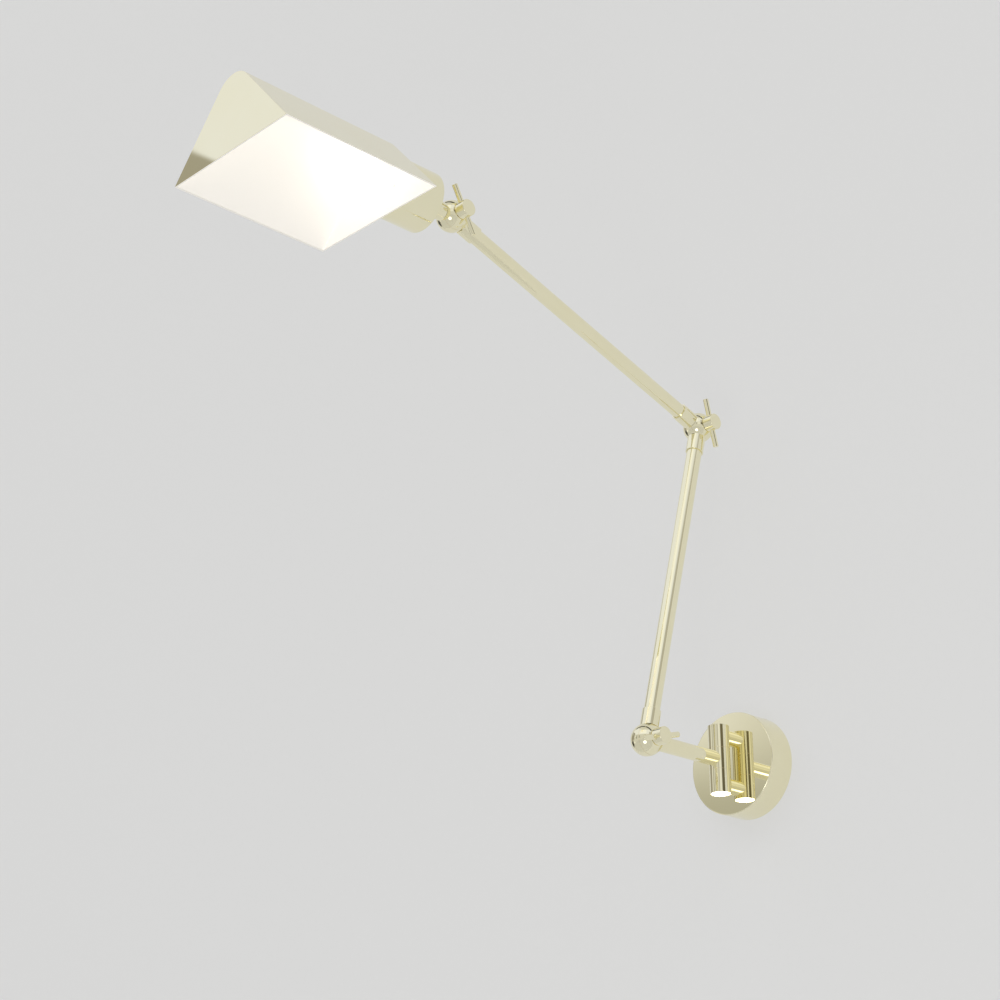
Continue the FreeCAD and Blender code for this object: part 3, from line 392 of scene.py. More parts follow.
def soften(bm, size, segments, wanted=None):
    """Round the sharp edges whose middle the test accepts."""
    sharp = []
    for edge in bm.edges:
        if edge.is_manifold and edge.calc_face_angle(0) > SHARP_ANGLE:
            middle = (edge.verts[0].co + edge.verts[1].co) / 2
            if wanted is None or wanted(middle):
                sharp.append(edge)
    if sharp:
        bmesh.ops.bevel(bm, geom=sharp, offset=size, offset_type="OFFSET",
                        segments=segments, profile=0.5, affect="EDGES", material=-1,
                        clamp_overlap=True)


def from_axis(point):
    return math.hypot(point.x, point.y)


def as_object(name, bm, matrix):
    bmesh.ops.transform(bm, matrix=matrix, verts=bm.verts)
    mesh = bpy.data.meshes.new(name)
    bm.to_mesh(mesh)
    bm.free()
    piece = bpy.data.objects.new(name, mesh)
    bpy.context.scene.collection.objects.link(piece)
    return piece


def combine(piece, operation, *others):
    """Join or cut a piece with others, which are used up."""
    for other in others:
        modifier = piece.modifiers.new("combine", "BOOLEAN")
        modifier.operation = operation
        modifier.solver = "EXACT"
        modifier.object = other
        graph = bpy.context.evaluated_depsgraph_get()
        result = bpy.data.meshes.new_from_object(piece.evaluated_get(graph))
        piece.modifiers.clear()
        old = piece.data
        piece.data = result
        bpy.data.meshes.remove(old)
        bpy.data.meshes.remove(other.data)


def dress(piece, material, node):
    """Give a finished piece its surface, and let it stand for its solid."""
    piece.data.materials.clear()
    piece.data.materials.append(material)
    for face in piece.data.polygons:
        face.material_index = 0
        face.use_smooth = True
    piece.data.set_sharp_from_angle(angle=SHARP_ANGLE)
    level = piece.modifiers.new("level_faces", "WEIGHTED_NORMAL")
    level.keep_sharp = True
    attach(piece, frame["nodes"][node]["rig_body"])
    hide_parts(node)
    return piece


MADE_FINISHES = {}


def finish_of(maker):
    """The material that a maker function makes, made once."""
    if maker not in MADE_FINISHES:
        MADE_FINISHES[maker] = maker()
    return MADE_FINISHES[maker]


def brass_piece(name, bm, matrix, node):
    return dress(as_object(name, bm, matrix), finish_of(polished_brass), node)


# ---------------------------------------------------------------- canopy, posts and barrel

def make_canopy(sizes):
    """Cup with a flat mirror face, a rounded front edge and two grub-screw holes."""
    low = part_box("canopy")[0]
    radius, depth, wall = half_width("canopy"), -low.y, sizes.canopy_wall
    bm = turned([(0, depth), (radius, depth), (radius, 0), (radius - wall, 0),
                 (radius - wall, depth - wall), (0, depth - wall)], segments=WIDE_ROUND)
    soften(bm, sizes.canopy_edge, 6, lambda point: from_axis(point) > radius - wall / 2
           and point.z > depth - wall / 2)
    soften(bm, sizes.edge, 2, lambda point: point.z < wall)
    piece = as_object("polished_canopy", bm, standing(Vector(), OUT_FROM_WALL))
    screws_low, screws_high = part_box("canopy_screws")
    height = -(screws_low.y + screws_high.y) / 2
    for side in (1, -1):
        hole = rod(sizes.grub_hole, radius - 3 * wall, radius + wall, HOLE_ROUND)
        tilt = Matrix.Rotation(side * GRUB_SCREW_ANGLE, 4, "Y")
        place = Matrix.Translation((0, -height, 0)) @ tilt
        combine(piece, "DIFFERENCE", as_object("hole", hole, place))
    dress(piece, finish_of(polished_brass), "canopy")


def make_posts(sizes):
    for node in ("post_upper", "post_lower"):
        low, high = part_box(node)
        middle = (high.z + low.z) / 2
        bm = pipe(sizes.post_bore, half_width(node), 0, high.y - low.y)
        brass_piece("polished_" + node, bm,
                    standing(Vector((0, high.y, middle)), OUT_FROM_WALL), node)


def make_barrel(sizes):
    """Three hinge knuckles, bored for their shaft, and the cap on top."""
    bore = sizes.shaft_radius + sizes.fit_gap
    for node in ("barrel_upper", "barrel_middle", "barrel_lower"):
        low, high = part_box(node)
        bm = pipe(bore, half_width(node), low.z, high.z)
        soften(bm, sizes.edge / 3, 2)
        brass_piece("polished_" + node, bm, ON_BARREL, node)
    low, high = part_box("barrel_cap")
    bm = rod(half_width("barrel_cap"), low.z, high.z)
    soften(bm, sizes.cap_edge, 4, lambda point: point.z > (low.z + high.z) / 2)
    brass_piece("polished_barrel_cap", bm, ON_BARREL, "barrel_cap")


def make_foot_lens(sizes):
    """Opal disc that fills the lower knuckle's mouth, its rim slightly rounded."""
    low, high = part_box("foot_lens")
    bm = rod(half_width("foot_lens"), low.z, high.z)
    soften(bm, sizes.edge, 3, lambda point: point.z < (low.z + high.z) / 2)
    piece = as_object("lit_foot_lens", bm, ON_BARREL)
    dress(piece, finish_of(lit_foot_lens), "foot_lens")


def lit_foot_lens():
    light = tuple(bpy.context.scene.wall_lamp_colours.foot_light)
    return glowing("lit_foot_lens", (0.9, 0.89, 0.87), light, FOOT_GLOW)


# ---------------------------------------------------------------- ball knuckles and tubes

def slotted_ball(sizes):
    """Ball turned about its clamp's axis, with the knob's seat and the shank's blind hole."""
    ball, spot, seat = sizes.ball_radius, sizes.spot_face, sizes.spot_face - sizes.boss_depth
    hole, counterbore = sizes.shank_radius + sizes.fit_gap, sizes.boss_radius + sizes.boss_gap
    blind = -sizes.blind_hole
    profile = arc(ball, -math.pi / 2, math.asin(spot / ball), steps=72)
    profile += [(counterbore, spot), (counterbore, seat), (hole, seat), (hole, blind),
                (0, blind)]
    return turned(profile, segments=BALL_ROUND)


def slot_room(sizes):
    half = sizes.tongue_half + sizes.washer_thickness
    reach = sizes.ball_radius + sizes.swing_gap
    return rod(reach, -half, half, BALL_ROUND)


def cup_profile(sizes, start, tube_radius):
    """Sleeve's profile after its first points, with the tube's socket and its spigot."""
    outer, end, floor = sizes.sleeve_radius, sizes.sleeve_end, sizes.sleeve_floor
    socket = tube_radius + sizes.fit_gap
    spigot = tube_radius - sizes.tube_wall - sizes.fit_gap
    return start + [(outer, end), (socket, end), (socket, floor), (spigot, floor),
                    (spigot, end), (0, end)]


def make_fork(name, node, centre, direction, shoulder, sizes):
    ball = as_object(name, slotted_ball(sizes), Matrix.Translation(centre) @ ALONG_X)
    neck = as_object("neck", shoulder, standing(centre, direction))
    slot = as_object("slot", slot_room(sizes), Matrix.Translation(centre) @ ALONG_X)
    combine(ball, "UNION", neck)
    combine(ball, "DIFFERENCE", slot)
    dress(ball, finish_of(polished_brass), node)


def make_tongue(name, node, centre, direction, beyond, sizes):
    """Disc that fills a ball's slot, its web, and the sleeve with a hollow end round the ball."""
    half, ball = sizes.tongue_half - sizes.polish_loss, sizes.ball_radius
    hole = sizes.shank_radius + sizes.fit_gap
    lean = math.asin(half / ball)
    eye = turned([(hole, -half)] + arc(ball, -lean, lean, steps=16) + [(hole, half)],
                 closed=True, segments=BALL_ROUND)
    disc = as_object(name, eye, Matrix.Translation(centre) @ ALONG_X)
    web = rod(sizes.sleeve_radius, WEB_START * ball, ball + sizes.swing_gap + OVERLAP)
    for side in (1, -1):
        bmesh.ops.bisect_plane(web, geom=web.verts[:] + web.edges[:] + web.faces[:],
                               plane_co=(side * half, 0, 0), plane_no=(side, 0, 0),
                               clear_outer=True)
        bmesh.ops.holes_fill(web, edges=web.edges, sides=0)
    place = standing(centre, direction)
    combine(disc, "UNION", as_object("sleeve", beyond, place), as_object("web", web, place))
    dress(disc, finish_of(polished_brass), node)


def hollow_end(sizes, radius):
    """Start of a sleeve's profile: a hollow that clears the ball."""
    reach = sizes.ball_radius + sizes.swing_gap
    return arc(reach, math.acos(radius / reach), math.pi / 2, steps=24)[::-1]


def make_stem(sizes):
    radius = half_width("stem_tube")
    spigot = radius - sizes.tube_wall - sizes.fit_gap
    start, neck = NECK_START * sizes.ball_radius, sizes.stem_neck
    end = neck + sizes.stem_spigot
    shoulder = turned([(0, start), (radius, start), (radius, neck), (spigot, neck),
                       (spigot, end), (0, end)])
    make_fork("polished_stem_ball", "stem_ball", BOTTOM, -TO_BALL, shoulder, sizes)
    seat = BOTTOM.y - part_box("stem_tube")[1].y
    make_tube("stem_tube", BOTTOM, -TO_BALL, neck, -seat, sizes)


def make_tube(node, origin, direction, start, end, sizes):
    radius = half_width(node)
    bm = pipe(radius - sizes.tube_wall, radius, start, end)
    soften(bm, sizes.edge / 2, 2)
    brass_piece("polished_" + node, bm, standing(origin, direction), node)


def make_arm(title, lower, upper, sizes):
    """Tube between two knuckles: a tongue with its sleeve below and a fork above."""
    direction = (upper - lower).normalized()
    radius = half_width(title + "_tube")
    end = (upper - lower).length - sizes.sleeve_floor
    make_tube(title + "_tube", lower, direction, sizes.sleeve_floor, end, sizes)
    foot = turned(cup_profile(sizes, hollow_end(sizes, sizes.sleeve_radius), radius))
    soften(foot, sizes.edge, 3, lambda point: point.z > sizes.sleeve_end - sizes.edge)
    make_tongue(f"polished_{title}_foot", title + "_foot", lower, direction, foot, sizes)
    inner = NECK_START * sizes.ball_radius
    head = turned(cup_profile(sizes, [(0, inner), (sizes.sleeve_radius, inner)], radius))
    soften(head, sizes.edge, 3, lambda point: point.z > sizes.sleeve_end - sizes.edge)
    make_fork(f"polished_{title}_head", title + "_head", upper, -direction, head, sizes)


def make_clamp(number, centre, angle, sizes):
    """Knob with its shank, and the cross bar through it."""
    knob_node, bar_node = f"clamp_knob_{number}", f"clamp_bar_{number}"
    low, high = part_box(knob_node)
    radius, face, tip = (high.z - low.z) / 2, high.x, low.x
    head = sizes.spot_face + sizes.knob_gap
    washer = sizes.spot_face - sizes.boss_depth + sizes.spring_room
    bm = turned([(0, tip), (sizes.shank_radius, tip), (sizes.shank_radius, washer),
                 (sizes.boss_radius, washer), (sizes.boss_radius, head), (radius, head),
                 (radius, face), (0, face)])
    soften(bm, sizes.knob_edge, 5, lambda point: point.z > face - NEAR)
    soften(bm, sizes.edge, 2, lambda point: abs(point.z - head) < NEAR
           and from_axis(point) > radius - 2 * NEAR)
    knob = as_object("polished_" + knob_node, bm, Matrix.Translation(centre) @ ALONG_X)
    bar_radius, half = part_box(bar_node)[1].x - sizes.bar_offset, sizes.bar_half
    middle = centre + X_AXIS * sizes.bar_offset
    direction = Vector((0, math.cos(angle), math.sin(angle)))
    hole = rod(bar_radius + sizes.fit_gap, -half, half, BAR_ROUND)
    combine(knob, "DIFFERENCE", as_object("bar_hole", hole, standing(middle, direction)))
    dress(knob, finish_of(polished_brass), knob_node)
    bar = rod(bar_radius, -half, half, BAR_ROUND)
    soften(bar, sizes.bar_edge, 4)
    brass_piece("polished_" + bar_node, bar, standing(middle, direction), bar_node)


# ---------------------------------------------------------------- head and shade

def head_place():
    """Frame of the head: Z away from the wall, Y up."""
    return standing(TOP, OUT_FROM_WALL)


def make_neck(sizes):
    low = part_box("head_neck")[0]
    nipple_end, back = TOP.y - low.y, TOP.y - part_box("socket_housing")[1].y
    nipple, hole, floor = sizes.nipple_radius, sizes.wire_way, sizes.neck_floor
    profile = hollow_end(sizes, sizes.sleeve_radius)
    profile += [(sizes.sleeve_radius, back), (nipple, back), (nipple, nipple_end),
                (hole, nipple_end), (hole, floor), (0, floor)]
    make_tongue("polished_head_neck", "head_neck", TOP, OUT_FROM_WALL, turned(profile), sizes)


def make_housing(sizes):
    """Round housing with a rounded back edge and the flange that the shade screws to."""
    low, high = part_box("socket_housing")
    radius, back, front = half_width("socket_housing"), TOP.y - high.y, TOP.y - low.y
    thick, hole = sizes.housing_end, sizes.nipple_hole
    inside = radius - sizes.housing_wall
    mouth = inside - sizes.housing_flange
    bm = turned([(hole, back), (radius, back), (radius, front), (mouth, front),
                 (mouth, front - thick), (inside, front - thick),
                 (inside, back + thick), (hole, back + thick)], closed=True,
                segments=WIDE_ROUND)
    soften(bm, sizes.housing_edge, 6, lambda point: point.z < back + NEAR
           and from_axis(point) > inside)
    housing = brass_piece("polished_socket_housing", bm, head_place(), "socket_housing")
    # Painted light: the housing's inside takes the glowing white enamel, so it shows lit white
    # where it would lie in shade.
    painted_glow_faces(housing, lambda face: face.center.y < high.y - thick / 2
                 and from_head_axis(face) < inside + sizes.fit_gap)


def tent_outline(sizes, inset, lift):
    """Points (across, up) of the shade's section: foot, round ridge, other foot."""
    low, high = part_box("shade_gable_front")
    half, drop, rise = half_width("shade_gable_front"), TOP.z - low.z, high.z - TOP.z
    middle = rise - sizes.ridge_radius
    height = drop + middle
    slope = (math.atan2(height, half)
             + math.asin(sizes.ridge_radius / math.hypot(height, half)))
    foot = half - inset / math.sin(slope) - lift / math.tan(slope)
    start = math.pi / 2 - slope
    points = [(foot, lift - drop)]
    points += arc(sizes.ridge_radius - inset, start, math.pi - start, steps=40, centre=middle)
    points.append((-foot, lift - drop))
    return points


def bent_sheet(sizes, start, end, inset, lift, thickness):
    """Sheet bent over the ridge, from one distance off the top ball to another."""
    bm = bmesh.new()
    outer = [bm.verts.new((across, up, start))
             for across, up in tent_outline(sizes, inset, lift)]
    inner = [bm.verts.new((across, up, start))
             for across, up in tent_outline(sizes, inset + thickness, lift)]
    loops = []
    for chain in (outer, inner):
        loops += [bm.edges.new(pair) for pair in zip(chain, chain[1:])]
    bmesh.ops.bridge_loops(bm, edges=loops)
    section = bmesh.ops.extrude_face_region(bm, geom=bm.faces[:])
    moved = [item for item in section["geom"] if isinstance(item, bmesh.types.BMVert)]
    bmesh.ops.translate(bm, verts=moved, vec=(0, 0, end - start))
    bmesh.ops.recalc_face_normals(bm, faces=bm.faces)
    return bm


def end_sheet(sizes, start, thickness, inset=0.0, lift=0.0):
    """Flat end plate in the shape of the shade's section."""
    bm = bmesh.new()
    verts = [bm.verts.new((across, up, start))
             for across, up in tent_outline(sizes, inset, lift)]
    face = bm.faces.new(verts)
    section = bmesh.ops.extrude_face_region(bm, geom=[face])
    moved = [item for item in section["geom"] if isinstance(item, bmesh.types.BMVert)]
    bmesh.ops.translate(bm, verts=moved, vec=(0, 0, thickness))
    bmesh.ops.recalc_face_normals(bm, faces=bm.faces)
    return bm


def bulb_hole(place, start, radius):
    """Cutter for the bulb's hole, from just behind a sheet to well past it."""
    return as_object("bulb_hole", rod(radius, start - OVERLAP, start + 3 * OVERLAP), place)


def make_shade(sizes):
    """Bent skin between two end plates in polished brass; their lower cut edges and the bulb
    hole's edge take white enamel with a painted glow.
    """
    low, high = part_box("shade_skin")
    rear, front = TOP.y - high.y, TOP.y - low.y
    place = head_place()
    bm = bent_sheet(sizes, rear, front, 0, 0, sizes.shade_sheet)
    skin = brass_piece("polished_shade_skin", bm, place, "shade_skin")
    bm = end_sheet(sizes, front, sizes.shade_sheet)
    soften(bm, sizes.edge / 2, 3, lambda point: point.z > front + sizes.shade_sheet / 2)
    gable = brass_piece("polished_shade_gable_front", bm, place, "shade_gable_front")
    back = as_object("polished_shade_gable_rear",
                     end_sheet(sizes, rear - sizes.shade_sheet, sizes.shade_sheet), place)
    combine(back, "DIFFERENCE", bulb_hole(place, rear - sizes.shade_sheet, sizes.bulb_hole))
    dress(back, finish_of(polished_brass), "shade_gable_rear")
    # Painted light: the lower cut edges and the bulb hole's edge take the glowing white enamel, a
    # painted bright rim round the lit mouth.
    for sheet in (skin, gable, back):
        painted_glow_faces(sheet, lambda face: on_cut_edge(face, low.z + sizes.shade_sheet,
                                                     sizes.bulb_hole))


def from_head_axis(face):
    return math.hypot(face.center.x - TOP.x, face.center.z - TOP.z)


def on_cut_edge(face, below, hole):
    """On a sheet's lower edge, or on the edge of the bulb's hole."""
    lower = face.normal.z < -ALONG_AXIS and face.center.z < below
    round_bulb = abs(face.normal.y) < ACROSS_AXIS and from_head_axis(face) < hole + NEAR
    return lower or round_bulb


def painted_glow_faces(piece, wanted):
    """White enamel with its painted glow on the faces that the test accepts."""
    piece.data.materials.append(finish_of(white_enamel))
    for face in piece.data.polygons:
        if wanted(face):
            face.material_index = 1


def make_liner(sizes):
    """White reflector inside the shade: slopes and both ends, open below."""
    low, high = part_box("shade_liner")
    rear, front = TOP.y - high.y, TOP.y - low.y
    inset = sizes.shade_sheet + sizes.liner_gap
    lift = sizes.liner_gap
    place = head_place()
    liner = as_object("enamelled_liner",
                      bent_sheet(sizes, rear, front, inset, lift, sizes.liner_sheet), place)
    inner = inset + sizes.liner_sheet / 2
    for start in (rear, front - sizes.liner_sheet):
        combine(liner, "UNION", as_object("liner_end", end_sheet(
            sizes, start, sizes.liner_sheet, inner, lift), place))
    combine(liner, "DIFFERENCE", bulb_hole(place, rear, sizes.bulb_hole))
    # The liner's painted glow stands in for the bulb's light falling on it.
    dress(liner, finish_of(white_enamel), "shade_liner")


def lit_bulb():
    light = tuple(bpy.context.scene.wall_lamp_colours.lamp_light)
    return glowing("lit_bulb", (0.95, 0.94, 0.92), light, BULB_GLOW)


def make_bulb(sizes):
    """Opal globe drawn in to the neck that sits in its cap."""
    low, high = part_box("bulb_globe")
    radius, tip, base = half_width("bulb_globe"), TOP.y - low.y, TOP.y - high.y
    neck, wall = sizes.bulb_neck, sizes.bulb_wall
    middle = tip - radius
    lean = math.acos(neck / radius)
    profile = [(neck - wall, base), (neck, base)]
    profile += arc(radius, -lean, math.pi / 2, steps=40, centre=middle)
    inner = radius - wall
    inner_lean = math.acos((neck - wall) / inner)
    profile += arc(inner, -inner_lean, math.pi / 2, steps=40, centre=middle)[::-1]
    globe = turned(profile + [(neck - wall, base)])
    piece = as_object("lit_bulb_globe", globe, head_place())
    dress(piece, finish_of(lit_bulb), "bulb_globe")


# ---------------------------------------------------------------- solids that stay as they are

def paint_node(node, material):
    item = frame["nodes"][node]
    item.data.materials.clear()
    item.data.materials.append(material)
    for face in item.data.polygons:
        face.material_index = 0


def zinc_steel():
    return dull_metal("zinc_steel", (0.66, 0.67, 0.69), (0.56, 0.57, 0.6), 0.28)


def spring_steel():
    return dull_metal("spring_steel", (0.34, 0.33, 0.32), (0.26, 0.25, 0.24), 0.4)


def bronze():
    return dull_metal("bronze", (0.83, 0.66, 0.42), (0.76, 0.58, 0.35), 0.22)


def bare_brass():
    return dull_metal("bare_brass", (0.85, 0.68, 0.36), (0.76, 0.58, 0.28), 0.25)


def cap_metal():
    return dull_metal("cap_metal", (0.86, 0.86, 0.86), (0.76, 0.76, 0.77), 0.2)


def terminal_plastic():
    return plain_solid("terminal_plastic", (0.88, 0.86, 0.8), (0.83, 0.81, 0.75), 0.45)


def white_ceramic():
    return plain_solid("white_ceramic", (0.9, 0.89, 0.86), (0.84, 0.83, 0.8), 0.5, 90)


def led_board():
    return plain_solid("led_board", (0.82, 0.84, 0.82), (0.76, 0.78, 0.76), 0.4)


NODE_FINISHES = {
    zinc_steel: ("mount_disc", "backing_plate", "neck_nut", "post_bolts", "hinge_shaft",
                 "canopy_screws"),
    # Painted light: the shade's screws and the lampholder's shell take the glowing white enamel,
    # so no dark shade shows beside the bulb.
    white_enamel: ("shade_screws", "lampholder_shell"),
    spring_steel: ("spring_washer_1", "spring_washer_2", "spring_washer_3"),
    bronze: ("friction_washers_1", "friction_washers_2", "friction_washers_3",
             "barrel_washers"),
    bare_brass: ("terminal_screws", "earth_screw", "lampholder_contact"),
    cap_metal: ("bulb_cap",),
    terminal_plastic: ("terminal_block",),
    white_ceramic: ("lampholder_body",),
    led_board: ("foot_led",),
}


# ---------------------------------------------------------------- studio

CAMERA_PLACE = Vector((1.421, -1.727, -0.5944))
CAMERA_YAW = math.radians(46.66)
CAMERA_PITCH = math.radians(22.5)
CAMERA_LENS = 73.44
CAMERA_SENSOR = 36
CAMERA_REACH = 50
BACKDROP_TONE = (0.825, 0.825, 0.815)
PAINT_DEEPER = 0.985
WALL_SHARE = 0.6
FLOOR_SHARE = 0.45
FLOOR_HEIGHT = -1.9
STAGE_HALF = 7
# How much brighter the softbox is in its middle than on the whole.
SOFTBOX_PEAK = 5.83
SOFTBOX = {"azimuth": 28, "elevation": -36, "distance": 2.4, "width": 1.5, "radiance": 0.79}


def make_camera():
    """Camera below the lamp and to its right, looking up at it."""
    data = bpy.data.cameras.new("camera")
    data.sensor_width = CAMERA_SENSOR
    data.lens = CAMERA_LENS
    data.clip_end = CAMERA_REACH
    camera = bpy.data.objects.new("camera", data)
    bpy.context.scene.collection.objects.link(camera)
    turn = Matrix.Rotation(CAMERA_YAW, 4, "Z") @ Matrix.Rotation(
        math.pi / 2 + CAMERA_PITCH, 4, "X")
    camera.matrix_world = Matrix.Translation(CAMERA_PLACE) @ turn
    bpy.context.scene.camera = camera


def pale_paint(name, backdrop):
    """Matt paint seen from the room's side only, part of it a flat backdrop colour."""
    colours = bpy.context.scene.wall_lamp_colours
    material, shader, tree = new_material(name)
    rolled = object_noise(tree, scale=120, detail=4)
    tone = tuple(colours.wall)
    deeper = tuple(PAINT_DEEPER * channel for channel in tone)
    tint = spread(tree, rolled.outputs["Fac"], 0, 1)
    tree.links.new(blend_colours(tree, tint, tone, deeper), shader.inputs["Base Color"])
    shader.inputs["Roughness"].default_value = 0.9
    shader.inputs["Specular IOR Level"].default_value = 0.1
    flat = tree.nodes.new("ShaderNodeEmission")
    flat.inputs["Color"].default_value = (*BACKDROP_TONE, 1)
    seen = tree.nodes.new("ShaderNodeMixShader")
    tree.links.new(seen_share(tree, backdrop), seen.inputs["Fac"])
    tree.links.new(shader.outputs["BSDF"], seen.inputs[1])
    tree.links.new(flat.outputs["Emission"], seen.inputs[2])
    clear = tree.nodes.new("ShaderNodeBsdfTransparent")
    sides = tree.nodes.new("ShaderNodeMixShader")
    geometry = tree.nodes.new("ShaderNodeNewGeometry")
    output = tree.nodes["Material Output"]
    tree.links.new(geometry.outputs["Backfacing"], sides.inputs["Fac"])
    tree.links.new(seen.outputs["Shader"], sides.inputs[1])
    tree.links.new(clear.outputs["BSDF"], sides.inputs[2])
    tree.links.new(sides.outputs["Shader"], output.inputs["Surface"])
    return material


def seen_share(tree, share):
    """The share for rays that show the backdrop, directly, in metal or through glass, else 0."""
    path = tree.nodes.new("ShaderNodeLightPath")
    shown = path.outputs["Is Camera Ray"]
    for kind in ("Is Glossy Ray", "Is Transmission Ray"):
        shown = calculate(tree, "MAXIMUM", shown, path.outputs[kind])
    return calculate(tree, "MULTIPLY", shown, share)


def stage_sheet(name, place, material):
    """Flat square sheet whose front looks along its own +Z."""
    bm = bmesh.new()
    bmesh.ops.create_grid(bm, x_segments=1, y_segments=1, size=STAGE_HALF)
    piece = as_object(name, bm, place)
    piece.data.materials.append(material)


def room_direction(azimuth, elevation):
    """Direction from the lamp: azimuth from straight out of the wall towards +X."""
    turn, rise = math.radians(azimuth), math.radians(elevation)
    return Vector((math.sin(turn) * math.cos(rise), -math.cos(turn) * math.cos(rise),
                   math.sin(rise)))


def facing_lamp(azimuth, elevation, distance):
    """Place at a distance from the lamp, with -Z turned back to it."""
    out = room_direction(azimuth, elevation)
    middle = (BOTTOM + TOP) / 2
    side = Z_AXIS.cross(out).normalized()
    turn = Matrix((side, out.cross(side), out)).transposed().to_4x4()
    return Matrix.Translation(middle + out * distance) @ turn


def soften_edge(data):
    """Let the light fade from its middle to its edge, on coordinates that run from 0 to 1."""
    data.use_nodes = True
    tree = data.node_tree
    place = tree.nodes.new("ShaderNodeNewGeometry")
    away = tree.nodes.new("ShaderNodeVectorMath")
    away.operation = "DISTANCE"
    away.inputs[1].default_value = (0.5, 0.5, 0)
    tree.links.new(place.outputs["Parametric"], away.inputs[0])
    fade = fade_out(tree, away.outputs["Value"], 0, 0.5, math.sqrt(SOFTBOX_PEAK))
    tree.links.new(calculate(tree, "POWER", fade, 2), tree.nodes["Emission"].inputs["Strength"])


def make_softbox(name, azimuth, elevation, distance, width, radiance):
    """Round light that faces the lamp, its radiance the mean over its face."""
    data = bpy.data.lights.new(name, "AREA")
    data.shape = "DISK"
    data.size = width
    data.energy = radiance * math.pi * math.pi * width ** 2 / 4
    soften_edge(data)
    lamp = bpy.data.objects.new(name, data)
    bpy.context.scene.collection.objects.link(lamp)
    lamp.matrix_world = facing_lamp(azimuth, elevation, distance)


# The room that the polish mirrors, in degrees from the lamp. Azimuth is from straight out of
# the wall towards +X. A patch blends its tone in by its share, and sinks by its lean for each
# degree of azimuth.
Patch = namedtuple("Patch", "azimuth elevation half_width half_height softness share tone lean",
                   defaults=(0,))
ROOM_PATCHES = (
    Patch(0, 42, 84, 13, 6, 0.9, (0.86, 0.88, 0.96)),
    Patch(14, 45, 22, 10, 8, 0.8, (1.0, 1.0, 1.0)),
    Patch(-88, -12, 17, 13, 6, 0.92, (0.03, 0.03, 0.025)),
    Patch(-72, 15, 13, 6, 8, 0.7, (0.2, 0.175, 0.12)),
    Patch(-84, 29, 16, 3, 3, 0.6, (0.25, 0.24, 0.21)),
    Patch(-62, 28.7, 9, 4.5, 0.2, 0.95, (0.35, 0.33, 0.28), lean=0.28),
    Patch(77, 14, 13, 5, 5, 0.92, (0.04, 0.035, 0.015)),
    Patch(85, 7, 5, 5, 4, 0.92, (0.03, 0.03, 0.02)),
    Patch(80, 27, 16, 9, 8, 0.6, (0.22, 0.19, 0.12)),
    Patch(-46, 15, 5, 4, 3, 0.8, (0.82, 0.82, 0.82)),
    Patch(-36, 11, 5, 2.5, 3, 0.8, (0.38, 0.37, 0.31)),
    Patch(-32, 12, 2, 9, 4, 0.45, (0.2, 0.19, 0.16)),
    Patch(-11, 12, 2.5, 6, 3, 0.6, (0.2, 0.19, 0.16)),
    Patch(31, 15, 3, 5, 4, 0.4, (0.2, 0.19, 0.16)),
    Patch(46, 15, 8, 6, 5, 0.8, (0.85, 0.85, 0.85)),
    Patch(-57, -12, 4, 5, 3, 0.9, (1.0, 1.0, 1.0)),
)
ROOM_TONE = (0.655, 0.65, 0.635)
BACKGROUND_TONE = (0.7, 0.7, 0.695)
COVE_TONE = (0.03, 0.03, 0.025)
COVE_SHARE = 0.9
COVE_REACH = (0.1, 0.2)
COVE_BAND = {"middle": 70, "half": 20, "softness": 10}


def soft_band(tree, angle, middle, half, softness):
    """1 within half of the middle angle, 0 beyond that and the softness."""
    away = calculate(tree, "ABSOLUTE", calculate(tree, "SUBTRACT", angle, middle))
    return fade_out(tree, away, half, half + softness)


def make_world():
    """Pale room with lighter and darker places that the polish mirrors, plain to the camera."""
    world = bpy.data.worlds.new("pale_room")
    bpy.context.scene.world = world
    world.use_nodes = True
    tree = world.node_tree
    place = tree.nodes.new("ShaderNodeTexCoord")
    parts = tree.nodes.new("ShaderNodeSeparateXYZ")
    tree.links.new(place.outputs["Generated"], parts.inputs["Vector"])
    outward = calculate(tree, "MULTIPLY", parts.outputs["Y"], OUT_FROM_WALL.y)
    azimuth = calculate(tree, "DEGREES",
                        calculate(tree, "ARCTAN2", parts.outputs["X"], outward))
    elevation = calculate(tree, "DEGREES", calculate(tree, "ARCSINE", parts.outputs["Z"]))
    room = ROOM_TONE
    for patch in ROOM_PATCHES:
        across = soft_band(tree, azimuth, patch.azimuth, patch.half_width, patch.softness)
        level = calculate(tree, "MULTIPLY_ADD", azimuth, patch.lean, elevation)
        up = soft_band(tree, level, patch.elevation + patch.lean * patch.azimuth,
                       patch.half_height, patch.softness)
        inside = calculate(tree, "MULTIPLY", across, up)
        room = blend_colours(tree, calculate(tree, "MULTIPLY", inside, patch.share), room,
                             patch.tone)
    room = dark_cove(tree, outward, elevation, room)
    path = tree.nodes.new("ShaderNodeLightPath")
    seen = blend_colours(tree, path.outputs["Is Camera Ray"], room, BACKGROUND_TONE)
    tree.links.new(seen, tree.nodes["Background"].inputs["Color"])


def dark_cove(tree, outward, elevation, room):
    """The room with a dark band high up, close to the wall's own plane."""
    near = fade_out(tree, outward, *COVE_REACH, full=COVE_SHARE)
    band = calculate(tree, "MULTIPLY", near, soft_band(tree, elevation, **COVE_BAND))
    return blend_colours(tree, band, room, COVE_TONE)


# ---------------------------------------------------------------- operators

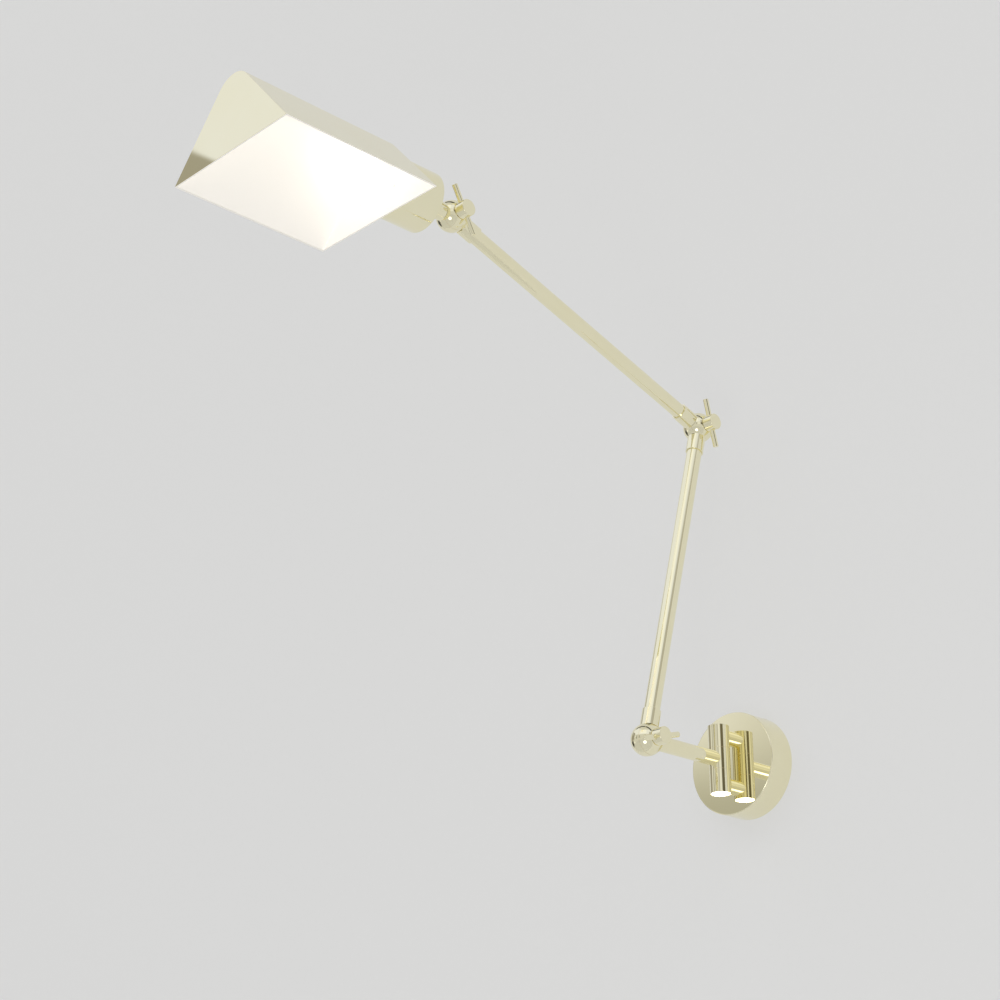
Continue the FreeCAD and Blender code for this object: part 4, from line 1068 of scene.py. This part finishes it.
class WALLLAMP_OT_stage(bpy.types.Operator):
    """Make the camera, the pale wall and floor, the pale room and its soft light"""
    bl_idname = "wall_lamp.stage"
    bl_label = "Studio"

    def execute(self, context):
        context.scene.view_settings.view_transform = "Standard"
        context.scene.cycles.glossy_bounces = context.scene.cycles.max_bounces
        make_camera()
        stage_sheet("studio_wall", Matrix.Rotation(math.pi / 2, 4, "X"),
                    pale_paint("wall_paint", WALL_SHARE))
        stage_sheet("studio_floor", Matrix.Translation((0, -STAGE_HALF, FLOOR_HEIGHT)),
                    pale_paint("floor_paint", FLOOR_SHARE))
        make_world()
        make_softbox("front_softbox", **SOFTBOX)
        return {"FINISHED"}


class WALLLAMP_OT_wall_side(bpy.types.Operator):
    """Turn the canopy, its posts, the hinge barrel and the lit foot lens"""
    bl_idname = "wall_lamp.wall_side"
    bl_label = "Canopy and barrel"

    def execute(self, context):
        sizes = context.scene.wall_lamp_sizes
        make_canopy(sizes)
        make_posts(sizes)
        make_barrel(sizes)
        make_foot_lens(sizes)
        return {"FINISHED"}


class WALLLAMP_OT_arms(bpy.types.Operator):
    """Make the stem, both arms and their ball knuckles"""
    bl_idname = "wall_lamp.arms"
    bl_label = "Stem and arms"

    def execute(self, context):
        sizes = context.scene.wall_lamp_sizes
        make_stem(sizes)
        make_arm("lower", BOTTOM, ELBOW, sizes)
        make_arm("upper", ELBOW, TOP, sizes)
        return {"FINISHED"}


class WALLLAMP_OT_clamps(bpy.types.Operator):
    """Make the clamp knob and cross bar of each ball"""
    bl_idname = "wall_lamp.clamps"
    bl_label = "Clamps"

    def execute(self, context):
        sizes = context.scene.wall_lamp_sizes
        for number, centre, angle in zip((1, 2, 3), (BOTTOM, ELBOW, TOP), BAR_ANGLES):
            make_clamp(number, centre, math.radians(angle), sizes)
        return {"FINISHED"}


class WALLLAMP_OT_head(bpy.types.Operator):
    """Make the neck, the round housing, the tent-shaped shade, its liner and the lit bulb"""
    bl_idname = "wall_lamp.head"
    bl_label = "Head and shade"

    def execute(self, context):
        sizes = context.scene.wall_lamp_sizes
        make_neck(sizes)
        make_housing(sizes)
        make_shade(sizes)
        make_liner(sizes)
        make_bulb(sizes)
        return {"FINISHED"}


class WALLLAMP_OT_inner_parts(bpy.types.Operator):
    """Finish the inner solids that keep their own shape"""
    bl_idname = "wall_lamp.inner_parts"
    bl_label = "Inner parts"

    def execute(self, context):
        for maker, nodes in NODE_FINISHES.items():
            for node in nodes:
                paint_node(node, finish_of(maker))
        return {"FINISHED"}


class WALLLAMP_PT_panel(bpy.types.Panel):
    """The lamp's pieces, sizes and colours"""
    bl_idname = "WALLLAMP_PT_panel"
    bl_label = "Wall Lamp"
    bl_space_type = "VIEW_3D"
    bl_region_type = "UI"
    bl_category = "Wall Lamp"

    def draw(self, context):
        layout = self.layout
        for operator in OPERATORS:
            layout.operator(operator.bl_idname)
        for group in (context.scene.wall_lamp_sizes, context.scene.wall_lamp_colours):
            for name in group.bl_rna.properties.keys():
                if name not in ("rna_type", "name"):
                    layout.prop(group, name)


OPERATORS = (
    WALLLAMP_OT_stage,
    WALLLAMP_OT_wall_side,
    WALLLAMP_OT_arms,
    WALLLAMP_OT_clamps,
    WALLLAMP_OT_head,
    WALLLAMP_OT_inner_parts,
)
CLASSES = (WallLampSizes, WallLampColours, *OPERATORS, WALLLAMP_PT_panel)


def register():
    for item in CLASSES:
        bpy.utils.register_class(item)
    bpy.types.Scene.wall_lamp_sizes = bpy.props.PointerProperty(type=WallLampSizes)
    bpy.types.Scene.wall_lamp_colours = bpy.props.PointerProperty(type=WallLampColours)


def unregister():
    del bpy.types.Scene.wall_lamp_colours
    del bpy.types.Scene.wall_lamp_sizes
    for item in reversed(CLASSES):
        bpy.utils.unregister_class(item)


def main():
    register()
    bpy.ops.wall_lamp.stage()
    bpy.ops.wall_lamp.wall_side()
    bpy.ops.wall_lamp.arms()
    bpy.ops.wall_lamp.clamps()
    bpy.ops.wall_lamp.head()
    bpy.ops.wall_lamp.inner_parts()


if __name__ == "__main__":
    main()
